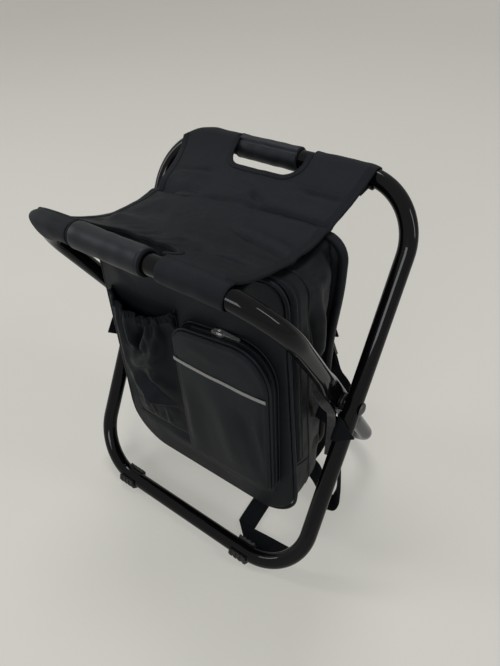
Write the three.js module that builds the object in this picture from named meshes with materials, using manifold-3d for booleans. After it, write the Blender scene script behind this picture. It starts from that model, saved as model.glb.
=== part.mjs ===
// Folding cooler stool: two bent-tube loops crossed on a pair of rivets, a cloth seat slung between
// their top bars, and a soft cooler bag with a zip-round front hung between the legs.
// Millimetres, +Z up, front towards -Y. The origin is on the floor, midway between the feet.

import * as THREE from 'three';
import { mergeVertices } from 'three/addons/utils/BufferGeometryUtils.js';
import Module from 'manifold-3d';

// Tube frame
const TUBE_D = 19;
const OUTER_W = 325; // outer loop, between the centre lines of its legs
const LEG_STEP = 17; // from an outer leg's centre line in to the inner leg's
const FOOT_SPAN = 238; // front bottom bar to rear bottom bar, between centre lines
const BAR_HEIGHT = 407; // centre line of the top bars above the floor
const BEND_R = 67;
const FLAT_T = 10; // inner leg pressed flat at the pivot
const FLAT_LENGTH = 84;
const FLAT_RUNOUT = 45;
const TUBE_SIDES = 16;
const BEND_STEPS = 7;

// Pivots
const RIVET_D = 7;
const RIVET_HEAD_D = 15;
const RIVET_HEAD_H = 3.2;
const SPACER_D = 20;

// Feet clipped under the bottom bars
const FOOT_PAD = 3; // rubber between the tube and the floor
const FOOT_LENGTH = 23;
const FOOT_WALL = 2.9;
const FOOT_RIB_H = 1.2;
const FOOT_RIBS = 4;
const FOOT_WRAP = 35; // degrees that the clip reaches above the tube's middle
const FOOT_BASE = 12; // width of the flat on the floor
const FRONT_FOOT_X = [-100, 90];
const REAR_FOOT_X = [-60, 60];

// Foam grips on the top bars
const GRIP_D = 28.5;
const GRIP_ROUND = 3;
const FRONT_GRIP_X = -22;
const FRONT_GRIP_LENGTH = 86;
const REAR_GRIP_X = -22;
const REAR_GRIP_LENGTH = 78;

// Seat cloth, its hems round the bars and its notches round the grips
const HEM_WALL = 1.6;
const HEM_EASE = 0.6; // slack between the hem and the tube
const SEAT_SAG = 37;
const SEAT_LEFT_DROOP = 9; // the left edge hangs this much lower
const SEAT_T = 3;
const SEAT_EDGE_T = 1.6;
const SEAT_WAIST = 7; // each side edge draws in at mid span
const FRONT_SEAT_SHORT = [20.5, 40.5]; // cloth stops this far inside the inner legs, left and right
const REAR_SEAT_SHORT = [25.5, 52.5]; // and inside the outer legs
const FRONT_NOTCH_X = [-87, 44];
const REAR_NOTCH_X = [-65, 38.5];
const NOTCH_DEPTH = { front: 40, rear: 29 }; // from the bar's centre line
const NOTCH_R = 26;
const SEAT_STITCH_Y = [-62, -20, 12, 38, 62];
const SEAT_STITCH_DEPTH = 1.2;
const SEAT_STITCH_W = 4;
const HEM_DROOP = { frontLeft: 16, frontRight: 4, rearLeft: 9, rearRight: 2 };

// Cooler bag
const BAG_SIDE_GAP = 11; // bag to the inner legs
const BAG_FRONT_Y = -66;
const BAG_DEPTH = 114;
const BAG_LIFT = 40; // bottom of the bag above the floor
const BAG_TOP_GAP = 12; // top of the bag under the seat
const BAG_CORNERS = [24, 45, 45, 45]; // top right, then round to the left
const BAG_WAIST = 9; // the rear gusset is this much narrower each side
const BAG_TAPER = { front: 7.5, back: -5 }; // each side is wider by this at the bottom than at mid height
const FRONT_PANEL_T = 6;
const BACK_PANEL_T = 7.7;
const BACK_PANEL_ROUND = 5;
const ZIP_GUSSET_DEPTH = 32.5;
const ZIP_SEAM_HEIGHT = 142; // the zip ends at this seam
const FLAP_CREASE_HEIGHT = 92; // the front folds down along this line
const SHELL_T = 1.6;
const FOAM_T = 5;
const LINER_T = 1;
const PIPING_D = 4;
const CORNER_STEPS = 5;

// Zips
const ZIP_W = 6;
const ZIP_T = 1.8;
const MAIN_ZIP_SETBACK = 9; // centre of the zip behind the front panel
const SLIDER_L = 10;
const SLIDER_W = 8;
const SLIDER_T = 3;
const PULL_L = 28;
const PULL_W = 6;
const PULL_T = 1.4;
const MAIN_SLIDER_X = [-12, 12];
const POCKET_SLIDER_X = 45;

// Zip pocket, right half of the front
const POCKET_LEFT = -7;
const POCKET_EDGE = 12; // pocket to the bag's right side
const POCKET_Z = [97, 306];
const POCKET_BULGE = 19;
const POCKET_WALL = 1.8;
const POCKET_CORNERS = { topLeft: 20, topRight: 44, bottomRight: 14, bottomLeft: 14 };
const POCKET_PIPING_D = 3;
const POCKET_ZIP_INSET = 6; // centre of the zip in front of the panel
const STRIPE_DROP = 44; // stripe below the pocket's top
const STRIPE_W = 4.5;
const STRIPE_T = 0.8;

// Gathered elastic pocket, left half of the front
const ELASTIC_EDGE = 11; // pocket to the bag's left side
const POCKET_GAP = 5; // between the two pockets
const ELASTIC_Z = [97, 302];
const ELASTIC_BULGE = 22;
const ELASTIC_MOUTH = 15;
const ELASTIC_T = 1.8;
const ELASTIC_PLEATS = 6;
const ELASTIC_PLEAT_H = 3;
const ELASTIC_BAND_H = 9;
const ELASTIC_TOP_DIP = 8;

// Hook-and-loop straps round the outer legs
const TIE_W = 25;
const TIE_T = 1.8;
const TIE_DROP = { left: 30, right: 31 }; // below the pivot, along the leg
const TIE_TAIL = { left: 26, right: 34 };
const TIE_TAIL_W = 13; // the hanging tail is folded to this width

// Shoulder straps
const PAD_W = 50;
const PAD_T = 9;
const PAD_ROUTE = [[83, 6, 352], [73, 14.5, 312], [57, 15, 265], [40, 13, 226]]; // in from the side, behind, up
const PAD_SIDES = 10;
const PAD_END = 0.3; // share of each end's span over which the pad thins out
const WEB_W = 25;
const WEB_T = 1.6;
const BUCKLE_L = 24;
const BUCKLE_W = 32;
const BUCKLE_T = 4;
const BUCKLE_BAR = 4;
const TAIL_LAP = 3; // the loose tail leaves the buckle this far behind the webbing
const FLOOR_GAP = 1.2; // underside of the webbing that lies on the floor
// Routes: out from the bag's side, behind its back, up from the floor, and the edge's turn from X to Y in degrees
const WEB_RIGHT_ROUTE = [
  [-8, 15, 165, 0], [-1, 18, 134, 50], [4, 8, 112, 86], [8, -1, 90, 90], [22, -18, 55, 90], [32, -34, 20, 90],
  [31, -43, 6, 90], [25, -46, 0, 90], [16, -45, 0, 90], [6, -41, 7, 90], [-3, -36, 20, 90], [-15, -31, 33, 90],
];
const WEB_LEFT_ROUTE = [[-8, 15, 165, 0], [-9, 15, 120, 0], [-15, 10, 75, 0], [-22, 6, 50, 0], [-27, -1, 35, 0]];
const TAIL_ROUTE = [
  [-19, 22, 160, 0], [-27, 24, 100, 0], [-35, 18, 40, 0], [-41, 6, 10, 0], [-45, -12, 0, 0], [-53, -48, 0, 0],
  [-63, -98, 0, 0],
];
// Ends: out from the bag's side, behind its back or the front foot, and the edge's turn
const WEB_RIGHT_SEAM = [[-37, -28, 90], [-65, -28, 90]];
const WEB_LEFT_SEAM = [[-44, -14, 0], [-56, -38, 0]];
const TAIL_END = [[-58, 12, 45], [-39, 0, 79], [-10, 0, 90], [21, 0, 90]];

// Fits
const CLEARANCE = 0.3;

const TUBE_R = TUBE_D / 2;
const FOOT_Z = TUBE_R + FOOT_PAD;
const PIVOT_Z = (FOOT_Z + BAR_HEIGHT) / 2;
const TILT = Math.atan2(FOOT_SPAN, BAR_HEIGHT - FOOT_Z);
const LOOP_LENGTH = Math.hypot(FOOT_SPAN, BAR_HEIGHT - FOOT_Z);
const BAR_Y = FOOT_SPAN / 2;
const OUTER_HALF = OUTER_W / 2;
const INNER_HALF = OUTER_HALF - LEG_STEP;
const FRONT_SEAT_X = [FRONT_SEAT_SHORT[0] - INNER_HALF, INNER_HALF - FRONT_SEAT_SHORT[1]];
const REAR_SEAT_X = [REAR_SEAT_SHORT[0] - OUTER_HALF, OUTER_HALF - REAR_SEAT_SHORT[1]];
const HEM_INNER_R = TUBE_R + HEM_EASE;
const HEM_OUTER_R = HEM_INNER_R + HEM_WALL;
const BAG_HALF = INNER_HALF - TUBE_R - BAG_SIDE_GAP;
const POCKET_X = [POCKET_LEFT, BAG_HALF - POCKET_EDGE];
const ELASTIC_X = [ELASTIC_EDGE - BAG_HALF, POCKET_LEFT - POCKET_GAP];
const BAG_BACK_Y = BAG_FRONT_Y + BAG_DEPTH;
const PANEL_BACK_Y = BAG_FRONT_Y + FRONT_PANEL_T;
const GUSSET_FRONT_Y = PANEL_BACK_Y + CLEARANCE;
const SEAM_Y = GUSSET_FRONT_Y + ZIP_GUSSET_DEPTH;
const GUSSET_BACK_Y = BAG_BACK_Y - BACK_PANEL_T - CLEARANCE;

const wasm = await Module();
wasm.setup();

const FINISH = {
  tube: new THREE.MeshStandardMaterial({ color: 0x0b0b0d, roughness: 0.18, metalness: 0.55 }),
  steel: new THREE.MeshStandardMaterial({ color: 0x8d9094, roughness: 0.3, metalness: 1 }),
  nylon: new THREE.MeshStandardMaterial({ color: 0x16171a, roughness: 0.5, metalness: 0 }),
  rubber: new THREE.MeshStandardMaterial({ color: 0x121213, roughness: 0.75, metalness: 0 }),
  foam: new THREE.MeshStandardMaterial({ color: 0x2b2d30, roughness: 0.6, metalness: 0 }),
  seat: new THREE.MeshStandardMaterial({ color: 0x17181b, roughness: 0.85, metalness: 0 }),
  bag: new THREE.MeshStandardMaterial({ color: 0x1a1c20, roughness: 0.6, metalness: 0 }),
  webbing: new THREE.MeshStandardMaterial({ color: 0x121315, roughness: 0.8, metalness: 0 }),
  insulation: new THREE.MeshStandardMaterial({ color: 0xd9d9d4, roughness: 0.9, metalness: 0 }),
  foil: new THREE.MeshStandardMaterial({ color: 0xc4c7ca, roughness: 0.3, metalness: 0.9 }),
  stripe: new THREE.MeshStandardMaterial({ color: 0xa6a8ab, roughness: 0.4, metalness: 0.1 }),
};

const stool = new THREE.Group();
const outerFrame = new THREE.Group();
outerFrame.position.set(0, 0, PIVOT_Z);
outerFrame.rotation.x = -TILT;
const innerFrame = new THREE.Group();
innerFrame.position.set(0, 0, PIVOT_Z);
innerFrame.rotation.x = TILT;
stool.add(outerFrame, innerFrame);

function add(parent, name, geometry, material) {
  const mesh = new THREE.Mesh(geometry, material);
  mesh.name = name;
  parent.add(mesh);
  return mesh;
}

// Geometry helpers

const point = (x, y, z) => new THREE.Vector3(x, y, z);
const smooth = (t) => THREE.MathUtils.smoothstep(t, 0, 1);
const steps = (count) => Array.from({ length: count + 1 }, (_, i) => i / count);

/** Six times the volume that the triangles enclose, negative when they face inwards. */
function signedVolume(geometry) {
  const position = geometry.getAttribute('position');
  const index = geometry.getIndex();
  const [a, b, c] = [point(), point(), point()];
  let sum = 0;
  for (let i = 0; i < index.count; i += 3) {
    a.fromBufferAttribute(position, index.getX(i));
    b.fromBufferAttribute(position, index.getX(i + 1));
    c.fromBufferAttribute(position, index.getX(i + 2));
    sum += a.dot(b.cross(c));
  }
  return sum;
}

/** An indexed geometry from points and triangles, turned so that its faces point out. */
function closedMesh(points, triangles) {
  const geometry = new THREE.BufferGeometry();
  geometry.setAttribute('position', new THREE.Float32BufferAttribute(points.flatMap((p) => p.toArray()), 3));
  geometry.setIndex(triangles.flat());
  if (signedVolume(geometry) < 0) {
    geometry.setIndex(triangles.flatMap(([a, b, c]) => [a, c, b]));
  }
  return geometry;
}

/** A solid through rings of equal size. It closes on itself, or ends in a cap on the flat outline given. */
function loft(rings, capOutline = null) {
  const size = rings[0].length;
  const spans = capOutline ? rings.length - 1 : rings.length;
  const triangles = [];
  for (let i = 0; i < spans; i += 1) {
    const low = i * size;
    const high = ((i + 1) % rings.length) * size;
    for (let j = 0; j < size; j += 1) {
      const next = (j + 1) % size;
      triangles.push([low + j, low + next, high + next], [low + j, high + next, high + j]);
    }
  }
  if (capOutline) {
    const last = (rings.length - 1) * size;
    const turn = THREE.ShapeUtils.isClockWise(capOutline) ? -1 : 1;
    for (const [a, b, c] of THREE.ShapeUtils.triangulateShape(capOutline, [])) {
      triangles.push(turn > 0 ? [a, c, b] : [a, b, c]);
      triangles.push(turn > 0 ? [last + a, last + b, last + c] : [last + a, last + c, last + b]);
    }
  }
  return closedMesh(rings.flat(), triangles);
}

/** A solid sheet between two surfaces of (u, v) on one grid, with a rim round its edge. */
function sheet(front, back, across, along) {
  const grid = (surface) => steps(along).flatMap((v) => steps(across).map((u) => surface(u, v)));
  const width = across + 1;
  const offset = width * (along + 1);
  const triangles = [];
  for (let i = 0; i < along; i += 1) {
    for (let j = 0; j < across; j += 1) {
      const a = i * width + j;
      const [b, c, d] = [a + 1, a + width + 1, a + width];
      triangles.push([a, b, c], [a, c, d]);
      triangles.push([offset + a, offset + c, offset + b], [offset + a, offset + d, offset + c]);
    }
  }
  const rim = [
    ...Array.from({ length: across }, (_, j) => j),
    ...Array.from({ length: along }, (_, i) => i * width + across),
    ...Array.from({ length: across }, (_, j) => offset - 1 - j),
    ...Array.from({ length: along }, (_, i) => (along - i) * width),
  ];
  rim.forEach((a, k) => {
    const b = rim[(k + 1) % rim.length];
    triangles.push([a, offset + a, offset + b], [a, offset + b, b]);
  });
  return closedMesh([...grid(front), ...grid(back)], triangles);
}

function toSolid(geometry) {
  const bare = geometry.clone();
  bare.deleteAttribute('normal');
  bare.deleteAttribute('uv');
  const merged = mergeVertices(bare, 1e-3);
  return new wasm.Manifold(new wasm.Mesh({
    numProp: 3,
    vertProperties: merged.getAttribute('position').array,
    triVerts: new Uint32Array(merged.getIndex().array),
  }));
}

function toGeometry(solid) {
  const mesh = solid.getMesh();
  const geometry = new THREE.BufferGeometry();
  geometry.setAttribute('position', new THREE.Float32BufferAttribute(mesh.vertProperties, 3));
  geometry.setIndex(Array.from(mesh.triVerts));
  return geometry;
}

const join = (...parts) => toGeometry(parts.map(toSolid).reduce((a, b) => a.add(b)));
const cut = (body, ...tools) => toGeometry(tools.map(toSolid).reduce((a, b) => a.subtract(b), toSolid(body)));
const overlap = (body, tool) => toGeometry(toSolid(body).intersect(toSolid(tool)));

function block(x, y, z) {
  const geometry = new THREE.BoxGeometry(x[1] - x[0], y[1] - y[0], z[1] - z[0]);
  return geometry.translate((x[0] + x[1]) / 2, (y[0] + y[1]) / 2, (z[0] + z[1]) / 2);
}

/** A turned solid about the X axis, from [x, radius] pairs that start and end on the axis or close. */
function turned(profile, sides) {
  const geometry = new THREE.LatheGeometry(profile.map(([x, r]) => new THREE.Vector2(r, x)), sides);
  return geometry.rotateZ(-Math.PI / 2);
}

/** A round-cornered outline in X and Z. Each corner has its own radius, listed from top right to the left. */
function roundedOutline(x, z, radii) {
  const corners = [[1, 1, 0], [0, 1, 90], [0, 0, 180], [1, 0, 270]];
  return corners.flatMap(([right, top, start], k) => {
    const r = radii[k];
    const cx = right ? x[1] - r : x[0] + r;
    const cz = top ? z[1] - r : z[0] + r;
    return steps(CORNER_STEPS).map((t) => {
      const a = THREE.MathUtils.degToRad(start + 90 * t);
      return new THREE.Vector2(cx + r * Math.cos(a), cz + r * Math.sin(a));
    });
  });
}

const standing = (outline, y) => outline.map((p) => point(p.x, y, p.y));

/** A round bead along a closed upright outline at depth y. */
function bead(outline, y, radius, sides) {
  const rings = outline.map((p, i) => {
    const before = outline[(i + outline.length - 1) % outline.length];
    const after = outline[(i + 1) % outline.length];
    const out = after.clone().sub(before).normalize();
    return steps(sides).slice(0, -1).map((t) => {
      const a = 2 * Math.PI * t;
      const reach = radius * Math.cos(a);
      return point(p.x + out.y * reach, y + radius * Math.sin(a), p.y - out.x * reach);
    });
  });
  return loft(rings);
}

/** A flat tape laid on the outside of an open upright path, between two depths. */
function tape(path, y, lift, thickness) {
  const rings = path.map((p, i) => {
    const along = path[Math.min(i + 1, path.length - 1)].clone().sub(path[Math.max(i - 1, 0)]).normalize();
    const out = new THREE.Vector2(along.y, -along.x);
    const [inner, outer] = [lift, lift + thickness].map((d) => p.clone().addScaledVector(out, d));
    return [point(inner.x, y[0], inner.y), point(outer.x, y[0], outer.y),
      point(outer.x, y[1], outer.y), point(inner.x, y[1], inner.y)];
  });
  return loft(rings, [[0, 0], [1, 0], [1, 1], [0, 1]].map(([u, v]) => new THREE.Vector2(u, v)));
}

/** Where a ribbon's route is at t, and which way it runs, lies and faces there. */
function ribbonFrame(route, t) {
  const centres = new THREE.CatmullRomCurve3(route.map(([x, y, z]) => point(x, y, z)), false, 'centripetal');
  const spans = route.length - 1;
  const k = Math.min(Math.floor(t * spans + 1e-9), spans - 1);
  const edge = point(...route[k].slice(3)).lerp(point(...route[k + 1].slice(3)), t * spans - k);
  const along = centres.getTangent(t);
  edge.addScaledVector(along, -edge.dot(along)).normalize();
  return { centre: centres.getPoint(t), along, edge, face: along.clone().cross(edge).normalize() };
}

/** A strip along a route, of a cross-section in its width and thickness that may swell along the way. */
function strip(route, outline, stepsPerSpan, swell = () => 1) {
  const rings = steps((route.length - 1) * stepsPerSpan).map((t) => {
    const { centre, edge, face } = ribbonFrame(route, t);
    return outline.map((p) => centre.clone().addScaledVector(edge, p.x).addScaledVector(face, p.y * swell(t)));
  });
  return loft(rings, outline);
}

/** A flat ribbon along a route. Each route entry is [x, y, z, edge x, edge y, edge z] with the edge's direction. */
function ribbon(route, width, thickness, stepsPerSpan) {
  const corners = [[1, 1], [-1, 1], [-1, -1], [1, -1]];
  return strip(route, corners.map(([a, b]) => new THREE.Vector2((a * width) / 2, (b * thickness) / 2)), stepsPerSpan);
}

/** A stuffed strip: oval across, and thinned to a seam at each end. */
function pad(route, width, thickness, stepsPerSpan) {
  const oval = Array.from({ length: PAD_SIDES }, (_, j) => {
    const a = (2 * Math.PI * (j + 0.5)) / PAD_SIDES;
    const square = (v) => Math.sign(v) * Math.sqrt(Math.abs(v));
    return new THREE.Vector2((square(Math.cos(a)) * width) / 2, (square(Math.sin(a)) * thickness) / 2);
  });
  const swell = (t) => THREE.MathUtils.lerp(WEB_T / thickness, 1, smooth(Math.min(t, 1 - t) / PAD_END));
  return strip(route, oval, stepsPerSpan, swell);
}

// Tube loops, drawn upright in their own plane with the pivot at the middle

function legStations(flattened) {
  if (!flattened) {
    return [];
  }
  const flatEnd = FLAT_LENGTH / 2;
  const half = steps(4).map((t) => ({ z: flatEnd + FLAT_RUNOUT * (1 - t), flat: smooth(t) }));
  return [...half, ...half.map(({ z, flat }) => ({ z: -z, flat })).reverse()];
}

function loopStations(halfWidth, bend, flattened) {
  const side = halfWidth - bend;
  const reach = LOOP_LENGTH / 2 - bend;
  const corner = (signX, signZ, start) => steps(BEND_STEPS).map((t) => {
    const a = THREE.MathUtils.degToRad(start + 90 * t);
    return { x: signX * side + bend * Math.cos(a), z: signZ * reach + bend * Math.sin(a), a, flat: 0 };
  });
  const leg = (sign, a) => legStations(flattened).map(({ z, flat }) => ({ x: sign * halfWidth, z, a, flat }));
  return [
    ...corner(1, 1, 0), ...corner(-1, 1, 90), ...leg(-1, Math.PI),
    ...corner(-1, -1, 180), ...corner(1, -1, 270), ...leg(1, 0).reverse(),
  ];
}

function tubeLoop(halfWidth, bend, radius, flattened) {
  const pressed = (Math.PI * (radius - FLAT_T / 2)) / 2; // the wall that flattening pushes to each side
  const rings = loopStations(halfWidth, bend, flattened).map(({ x, z, a, flat }) => {
    const thin = THREE.MathUtils.lerp(radius, FLAT_T / 2, flat);
    return Array.from({ length: TUBE_SIDES }, (_, j) => {
      const turn = (2 * Math.PI * (j + 0.5)) / TUBE_SIDES;
      const out = thin * Math.cos(turn);
      const across = thin * Math.sin(turn) + Math.sign(Math.sin(turn)) * pressed * flat;
      return point(x + out * Math.cos(a), across, z + out * Math.sin(a));
    });
  });
  return loft(rings);
}

function rivetHoles() {
  const holeR = RIVET_D / 2 + CLEARANCE;
  const length = OUTER_W + 2 * TUBE_D;
  return new THREE.CylinderGeometry(holeR, holeR, length, TUBE_SIDES).rotateZ(Math.PI / 2);
}

add(outerFrame, 'outer_frame', cut(tubeLoop(OUTER_HALF, BEND_R, TUBE_R, false), rivetHoles()), FINISH.tube);
add(innerFrame, 'inner_frame', cut(tubeLoop(INNER_HALF, BEND_R, TUBE_R, true), rivetHoles()), FINISH.tube);

// Room for each loop's tube, cut from what is fitted on it
const innerClear = tubeLoop(INNER_HALF, BEND_R, TUBE_R + CLEARANCE, false);
const outerClear = tubeLoop(OUTER_HALF, BEND_R, TUBE_R + CLEARANCE, false);

// Pivot rivets and the spacers between the legs

function rivet() {
  const shankR = RIVET_D / 2;
  const headR = RIVET_HEAD_D / 2;
  const outer = OUTER_HALF + TUBE_R + CLEARANCE;
  const inner = INNER_HALF - FLAT_T / 2 - CLEARANCE;
  const dome = (t) => [RIVET_HEAD_H * Math.sin((t * Math.PI) / 2), headR * Math.cos((t * Math.PI) / 2)];
  const domeSteps = steps(3).map(dome);
  const far = domeSteps.map(([h, r]) => [outer + h, r]);
  const near = domeSteps.map(([h, r]) => [inner - h, r]).reverse();
  return turned([...near, [inner, shankR], [outer, shankR], ...far], TUBE_SIDES);
}

function spacer() {
  const inner = INNER_HALF + FLAT_T / 2 + CLEARANCE;
  const outer = OUTER_HALF - TUBE_R - CLEARANCE;
  const bore = RIVET_D / 2 + CLEARANCE;
  const rim = SPACER_D / 2;
  return turned([[inner, bore], [inner, rim], [outer, rim], [outer, bore], [inner, bore]], TUBE_SIDES);
}

for (const [side, turn] of [['right', 0], ['left', Math.PI]]) {
  add(outerFrame, `pivot_rivet_${side}`, rivet().rotateZ(turn), FINISH.steel);
  add(outerFrame, `pivot_spacer_${side}`, spacer().rotateZ(turn), FINISH.nylon);
}

// Ribbed feet: a clip round the bottom bar with a flat base, lofted along it with a tooth for each rib

function footOutline(ribHeight) {
  const bore = TUBE_R + CLEARANCE;
  const arc = (radius, from, to, count) => steps(count).map((t) => {
    const a = THREE.MathUtils.degToRad(THREE.MathUtils.lerp(from, to, t));
    return new THREE.Vector2(radius * Math.cos(a), FOOT_Z + radius * Math.sin(a));
  });
  const rim = bore + FOOT_WALL + ribHeight;
  const toBase = THREE.MathUtils.radToDeg(Math.acos(FOOT_BASE / 2 / rim));
  const base = [-1, 1].map((side) => new THREE.Vector2((side * FOOT_BASE) / 2, 0));
  return [...arc(bore, FOOT_WRAP, -180 - FOOT_WRAP, 7), ...arc(rim, 180 - FOOT_WRAP, 180 + toBase, 3),
    ...base, ...arc(rim, -toBase, FOOT_WRAP, 3)];
}

function foot(x, y, clearLoop, frame) {
  const pitch = FOOT_LENGTH / (2 * FOOT_RIBS - 1);
  const rings = [];
  for (let k = 0; k < 2 * FOOT_RIBS - 1; k += 1) {
    const outline = footOutline(k % 2 ? 0 : FOOT_RIB_H);
    const start = x - FOOT_LENGTH / 2 + k * pitch;
    for (const at of [start + CLEARANCE / 2, start + pitch - CLEARANCE / 2]) {
      rings.push(outline.map((p) => point(at, y + p.x, p.y)));
    }
  }
  frame.updateMatrixWorld();
  return cut(loft(rings, footOutline(FOOT_RIB_H)), clearLoop.clone().applyMatrix4(frame.matrixWorld));
}

['left', 'right'].forEach((side, k) => {
  add(stool, `front_foot_${side}`, foot(FRONT_FOOT_X[k], -BAR_Y, outerClear, outerFrame), FINISH.rubber);
  add(stool, `rear_foot_${side}`, foot(REAR_FOOT_X[k], BAR_Y, innerClear, innerFrame), FINISH.rubber);
});

// Foam grips

function grip(x, length) {
  const bore = TUBE_R + CLEARANCE;
  const rim = GRIP_D / 2;
  const end = length / 2;
  const round = (t) => [end - GRIP_ROUND * (1 - Math.sin((t * Math.PI) / 2)),
    rim - GRIP_ROUND * (1 - Math.cos((t * Math.PI) / 2))];
  const right = steps(3).map(round);
  const left = right.map(([at, r]) => [-at, r]).reverse();
  const profile = [[-end, bore], ...left, ...right, [end, bore], [-end, bore]];
  return turned(profile, 20).translate(x, 0, LOOP_LENGTH / 2);
}

add(innerFrame, 'front_grip', grip(FRONT_GRIP_X, FRONT_GRIP_LENGTH), FINISH.foam);
add(outerFrame, 'rear_grip', grip(REAR_GRIP_X, REAR_GRIP_LENGTH), FINISH.foam);

// Hems of the seat: cloth loops round a top bar that hang open where the tube bends away

function hem(inside, outside, droop, clearLoop) {
  const ring = (t, radius) => {
    const slack = droop * smooth(t);
    return Array.from({ length: TUBE_SIDES }, (_, j) => {
      const a = (2 * Math.PI * (j + 0.5)) / TUBE_SIDES;
      const drop = Math.cos(a) < 0 ? slack : 0;
      const x = THREE.MathUtils.lerp(inside, outside, t);
      return point(x, radius * Math.sin(a), LOOP_LENGTH / 2 + radius * Math.cos(a) - drop);
    });
  };
  const stations = steps(5);
  const shell = loft([
    ...stations.map((t) => ring(t, HEM_OUTER_R)),
    ...stations.map((t) => ring(t, HEM_INNER_R)).reverse(),
  ]);
  return cut(shell, clearLoop);
}

add(innerFrame, 'seat_hem_front_left',
  hem(FRONT_NOTCH_X[0], FRONT_SEAT_X[0], HEM_DROOP.frontLeft, innerClear), FINISH.seat);
add(innerFrame, 'seat_hem_front_right',
  hem(FRONT_NOTCH_X[1], FRONT_SEAT_X[1], HEM_DROOP.frontRight, innerClear), FINISH.seat);
add(outerFrame, 'seat_hem_rear_left',
  hem(REAR_NOTCH_X[0], REAR_SEAT_X[0], HEM_DROOP.rearLeft, outerClear), FINISH.seat);
add(outerFrame, 'seat_hem_rear_right',
  hem(REAR_NOTCH_X[1], REAR_SEAT_X[1], HEM_DROOP.rearRight, outerClear), FINISH.seat);

// Seat panel: a sagging sheet that leaves each hem along its tangent, pressed in along its stitch lines

const SEAT_LEAVE = Math.atan2(2 * SEAT_SAG, BAR_Y);
const SEAT_END_Y = BAR_Y - (HEM_OUTER_R + CLEARANCE) * Math.sin(SEAT_LEAVE);
const SEAT_END_Z = BAR_HEIGHT + (HEM_OUTER_R + CLEARANCE) * Math.cos(SEAT_LEAVE);

/** Height of the seat's underside at depth y, where side runs from 0 at the right edge to 1 at the left. */
function seatUnder(y, side) {
  const hang = 1 - (y / SEAT_END_Y) ** 2;
  return SEAT_END_Z - (SEAT_SAG + SEAT_LEFT_DROOP * side ** 4) * hang;
}

function seatPanel() {
  const across = 18;
  const along = 26;
  const surface = (lifted) => (u, v) => {
    const y = THREE.MathUtils.lerp(-SEAT_END_Y, SEAT_END_Y, v);
    const hang = Math.max(1 - (y / SEAT_END_Y) ** 2, 0);
    const left = THREE.MathUtils.lerp(FRONT_SEAT_X[0], REAR_SEAT_X[0], v) + SEAT_WAIST * hang;
    const right = THREE.MathUtils.lerp(FRONT_SEAT_X[1], REAR_SEAT_X[1], v) - SEAT_WAIST * hang;
    const under = point(THREE.MathUtils.lerp(left, right, u), y, seatUnder(y, 1 - u));
    if (!lifted) {
      return under;
    }
    const slope = Math.atan((2 * SEAT_SAG * y) / SEAT_END_Y ** 2);
    const stitch = SEAT_STITCH_Y.reduce((sum, at) => sum + Math.exp(-(((y - at) / SEAT_STITCH_W) ** 2)), 0);
    const thick = THREE.MathUtils.lerp(SEAT_EDGE_T, SEAT_T, Math.sqrt(hang)) - SEAT_STITCH_DEPTH * stitch * hang;
    return under.add(point(0, -thick * Math.sin(slope), thick * Math.cos(slope)));
  };
  const panel = sheet(surface(false), surface(true), across, along);
  return cut(panel, notch(FRONT_NOTCH_X, NOTCH_DEPTH.front, -1), notch(REAR_NOTCH_X, NOTCH_DEPTH.rear, 1));
}

/** The upright cutter for a round-cornered notch on the front (-1) or rear (1) edge. */
function notch([left, right], depth, end) {
  const mouth = BAR_Y + TUBE_D;
  const outline = roundedOutline([left, right], [BAR_Y - depth, mouth], [0.5, 0.5, NOTCH_R, NOTCH_R]);
  const at = (z) => outline.map((p) => point(p.x, end * p.y, z));
  return loft([at(BAR_HEIGHT - SEAT_SAG), at(BAR_HEIGHT + SEAT_SAG)], outline);
}

add(stool, 'seat_panel', seatPanel(), FINISH.seat);

// Cooler bag: rings of one round-cornered outline whose top dips with the seat and whose sides lean

const bagTop = (y) => seatUnder(y, 0) - BAG_TOP_GAP;
const bagHalf = (y) => BAG_HALF - BAG_WAIST * smooth((y - SEAM_Y) / (GUSSET_BACK_Y - SEAM_Y));

function bagOutline(y, inset) {
  const half = bagHalf(y) - inset;
  const middle = (BAG_LIFT + bagTop(y)) / 2;
  const taper = THREE.MathUtils.mapLinear(y, GUSSET_FRONT_Y, GUSSET_BACK_Y, BAG_TAPER.front, BAG_TAPER.back);
  const lean = (z) => 1 + ((taper / half) * (middle - z)) / (middle - BAG_LIFT);
  return roundedOutline([-half, half], [BAG_LIFT + inset, bagTop(y) - inset], BAG_CORNERS.map((r) => r - inset))
    .map((p) => p.setX(p.x * lean(p.y)));
}

const bagRing = (y, inset) => standing(bagOutline(y, inset), y);

// The depths at which every layer of the bag has a ring, so that layers keep their distance
const depthsBetween = (from, to, count) => steps(count).map((t) => THREE.MathUtils.lerp(from, to, t));
const bagDepths = [...depthsBetween(GUSSET_FRONT_Y, SEAM_Y, 3),
  ...depthsBetween(SEAM_Y, GUSSET_BACK_Y, 6).slice(1)];
const layerDepths = (from, to) => [from, ...bagDepths.filter((y) => y > from + 1 && y < to - 1), to];

function bagSolid(from, to, inset) {
  return loft(layerDepths(from, to).map((y) => bagRing(y, inset)), bagOutline(from, inset));
}

/** A skin round the bag between two depths, open at both ends. */
function bagTunnel(from, to, outerInset, innerInset) {
  const through = 2 * SHELL_T;
  return cut(bagSolid(from, to, outerInset), bagSolid(from - through, to + through, innerInset));
}

/** An open-fronted box inside the bag: walls and back of one thickness, set in from the outside. */
function bagPan(back, inset, wall) {
  const front = GUSSET_FRONT_Y + SHELL_T;
  return cut(bagSolid(front, back, inset), bagSolid(front - wall, back - wall, inset + wall));
}

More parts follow.
